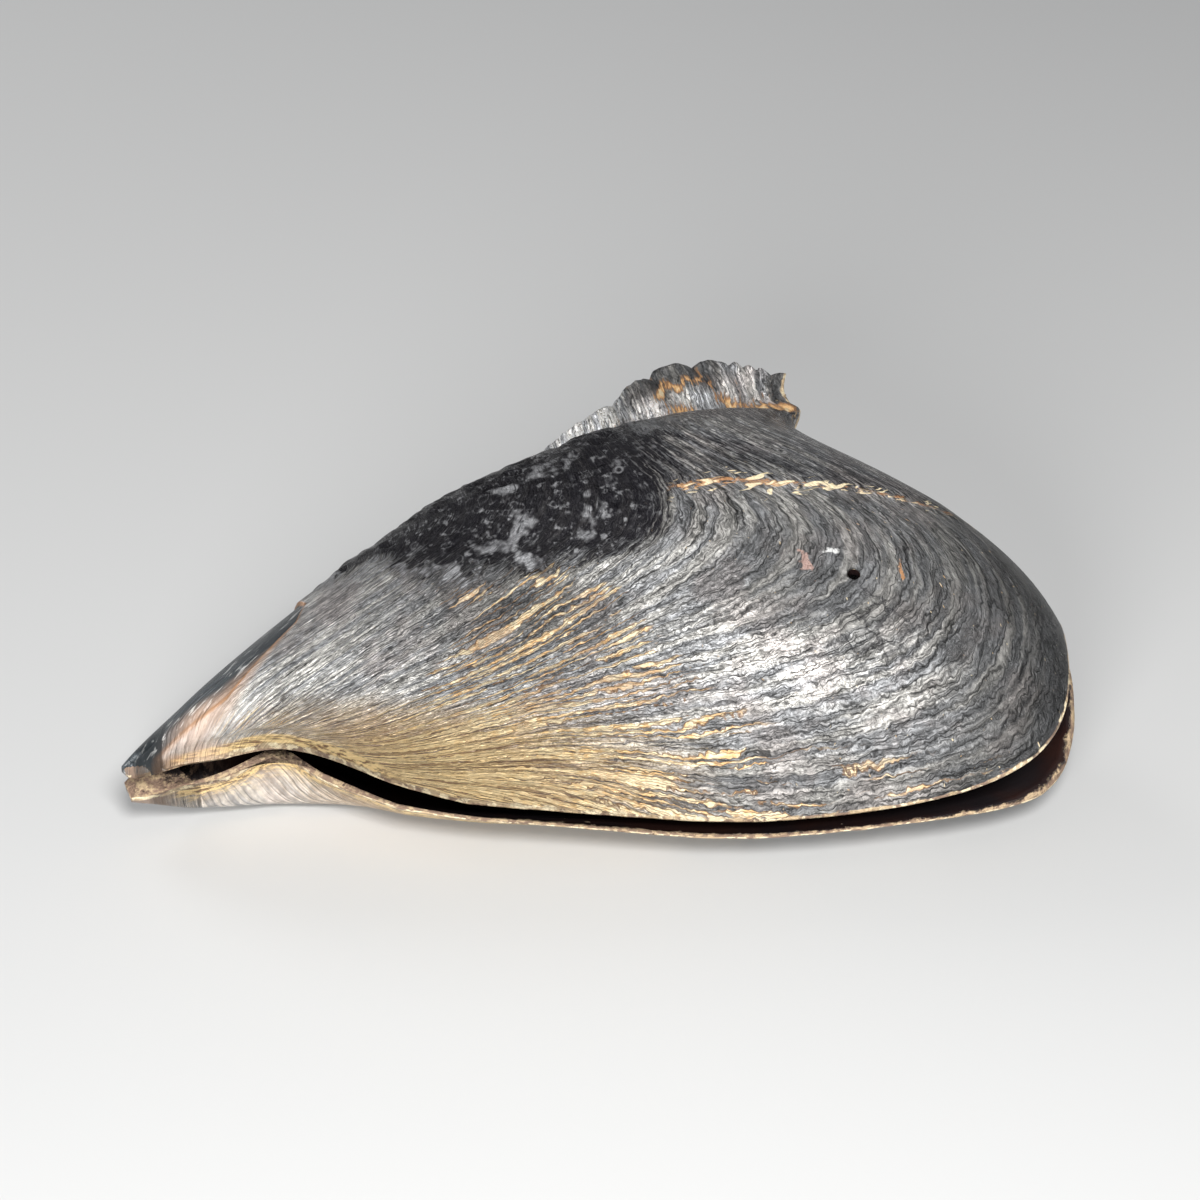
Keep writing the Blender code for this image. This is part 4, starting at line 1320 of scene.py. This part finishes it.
def pale_world():
    """A pale sky: dimmer as a light than as the camera sees it."""
    world = bpy.data.worlds.new("pale_world")
    world.use_nodes = True
    nodes, links = world.node_tree.nodes, world.node_tree.links
    background = nodes["Background"]
    background.inputs["Color"].default_value = (0.93, 0.95, 1.0, 1.0)
    path = nodes.new("ShaderNodeLightPath")
    strength = nodes.new("ShaderNodeMapRange")
    strength.inputs["To Min"].default_value = SKY_LIGHT
    strength.inputs["To Max"].default_value = SKY_SEEN
    links.new(path.outputs["Is Camera Ray"], strength.inputs["Value"])
    links.new(strength.outputs["Result"], background.inputs["Strength"])
    bpy.context.scene.world = world


def floor_finish(colours):
    """The floor, which glows faintly beyond the reach of the lamps so that it stays pale to the horizon."""
    made = Nodes("pale_floor")
    colour = rgba(colours.floor)
    glow = made.span(made.length(made.own_place()), *FLOOR_GLOW_OVER, 0.0, FLOOR_GLOW)
    inputs = {"Base Color": colour, "Roughness": 0.9, "Emission Color": colour, "Emission Strength": glow}
    return made.finished(inputs)


class PENSHELL_OT_stage(bpy.types.Operator):
    """Builds the floor, the lamps, the sky and the camera"""

    bl_idname = "penshell.stage"
    bl_label = "Stage"

    def execute(self, context):
        corners = [(x * FLOOR_HALF, y * FLOOR_HALF, 0.0) for x, y in ((-1, -1), (1, -1), (1, 1), (-1, 1))]
        mesh = bpy.data.meshes.new("floor")
        mesh.from_pydata(corners, [], [(0, 1, 2, 3)])
        mesh.materials.append(floor_finish(context.scene.pen_shell_colours))
        floor = bpy.data.objects.new("floor", mesh)
        context.scene.collection.objects.link(floor)
        target = Vector(to_table(np.array(CAMERA_TARGET)))
        for lamp in LAMPS:
            add_lamp(*lamp, target)
        add_camera(target)
        pale_world()
        context.scene.view_settings.view_transform = "Standard"
        return {"FINISHED"}


class PENSHELL_PT_looks(bpy.types.Panel):
    """Buttons for each piece and the stage, and the sizes and colours that they use"""

    bl_idname = "PENSHELL_PT_looks"
    bl_label = "Pen shell"
    bl_space_type = "VIEW_3D"
    bl_region_type = "UI"
    bl_category = "Pen shell"

    def draw(self, context):
        for operator in OPERATORS:
            self.layout.operator(operator.bl_idname)
        for group in (context.scene.pen_shell_shape, context.scene.pen_shell_colours):
            for name in group.__annotations__:
                self.layout.prop(group, name)


OPERATORS = (PENSHELL_OT_upper_valve, PENSHELL_OT_lower_valve, PENSHELL_OT_ligament, PENSHELL_OT_stage)
CLASSES = (PenShellShape, PenShellColours, *OPERATORS, PENSHELL_PT_looks)


def register():
    for kind in CLASSES:
        bpy.utils.register_class(kind)
    bpy.types.Scene.pen_shell_shape = bpy.props.PointerProperty(type=PenShellShape)
    bpy.types.Scene.pen_shell_colours = bpy.props.PointerProperty(type=PenShellColours)


def unregister():
    del bpy.types.Scene.pen_shell_colours
    del bpy.types.Scene.pen_shell_shape
    for kind in reversed(CLASSES):
        bpy.utils.unregister_class(kind)


def main():
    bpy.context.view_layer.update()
    register()
    bpy.ops.penshell.upper_valve()
    bpy.ops.penshell.lower_valve()
    bpy.ops.penshell.ligament()
    bpy.ops.penshell.stage()


if __name__ == "__main__":
    main()
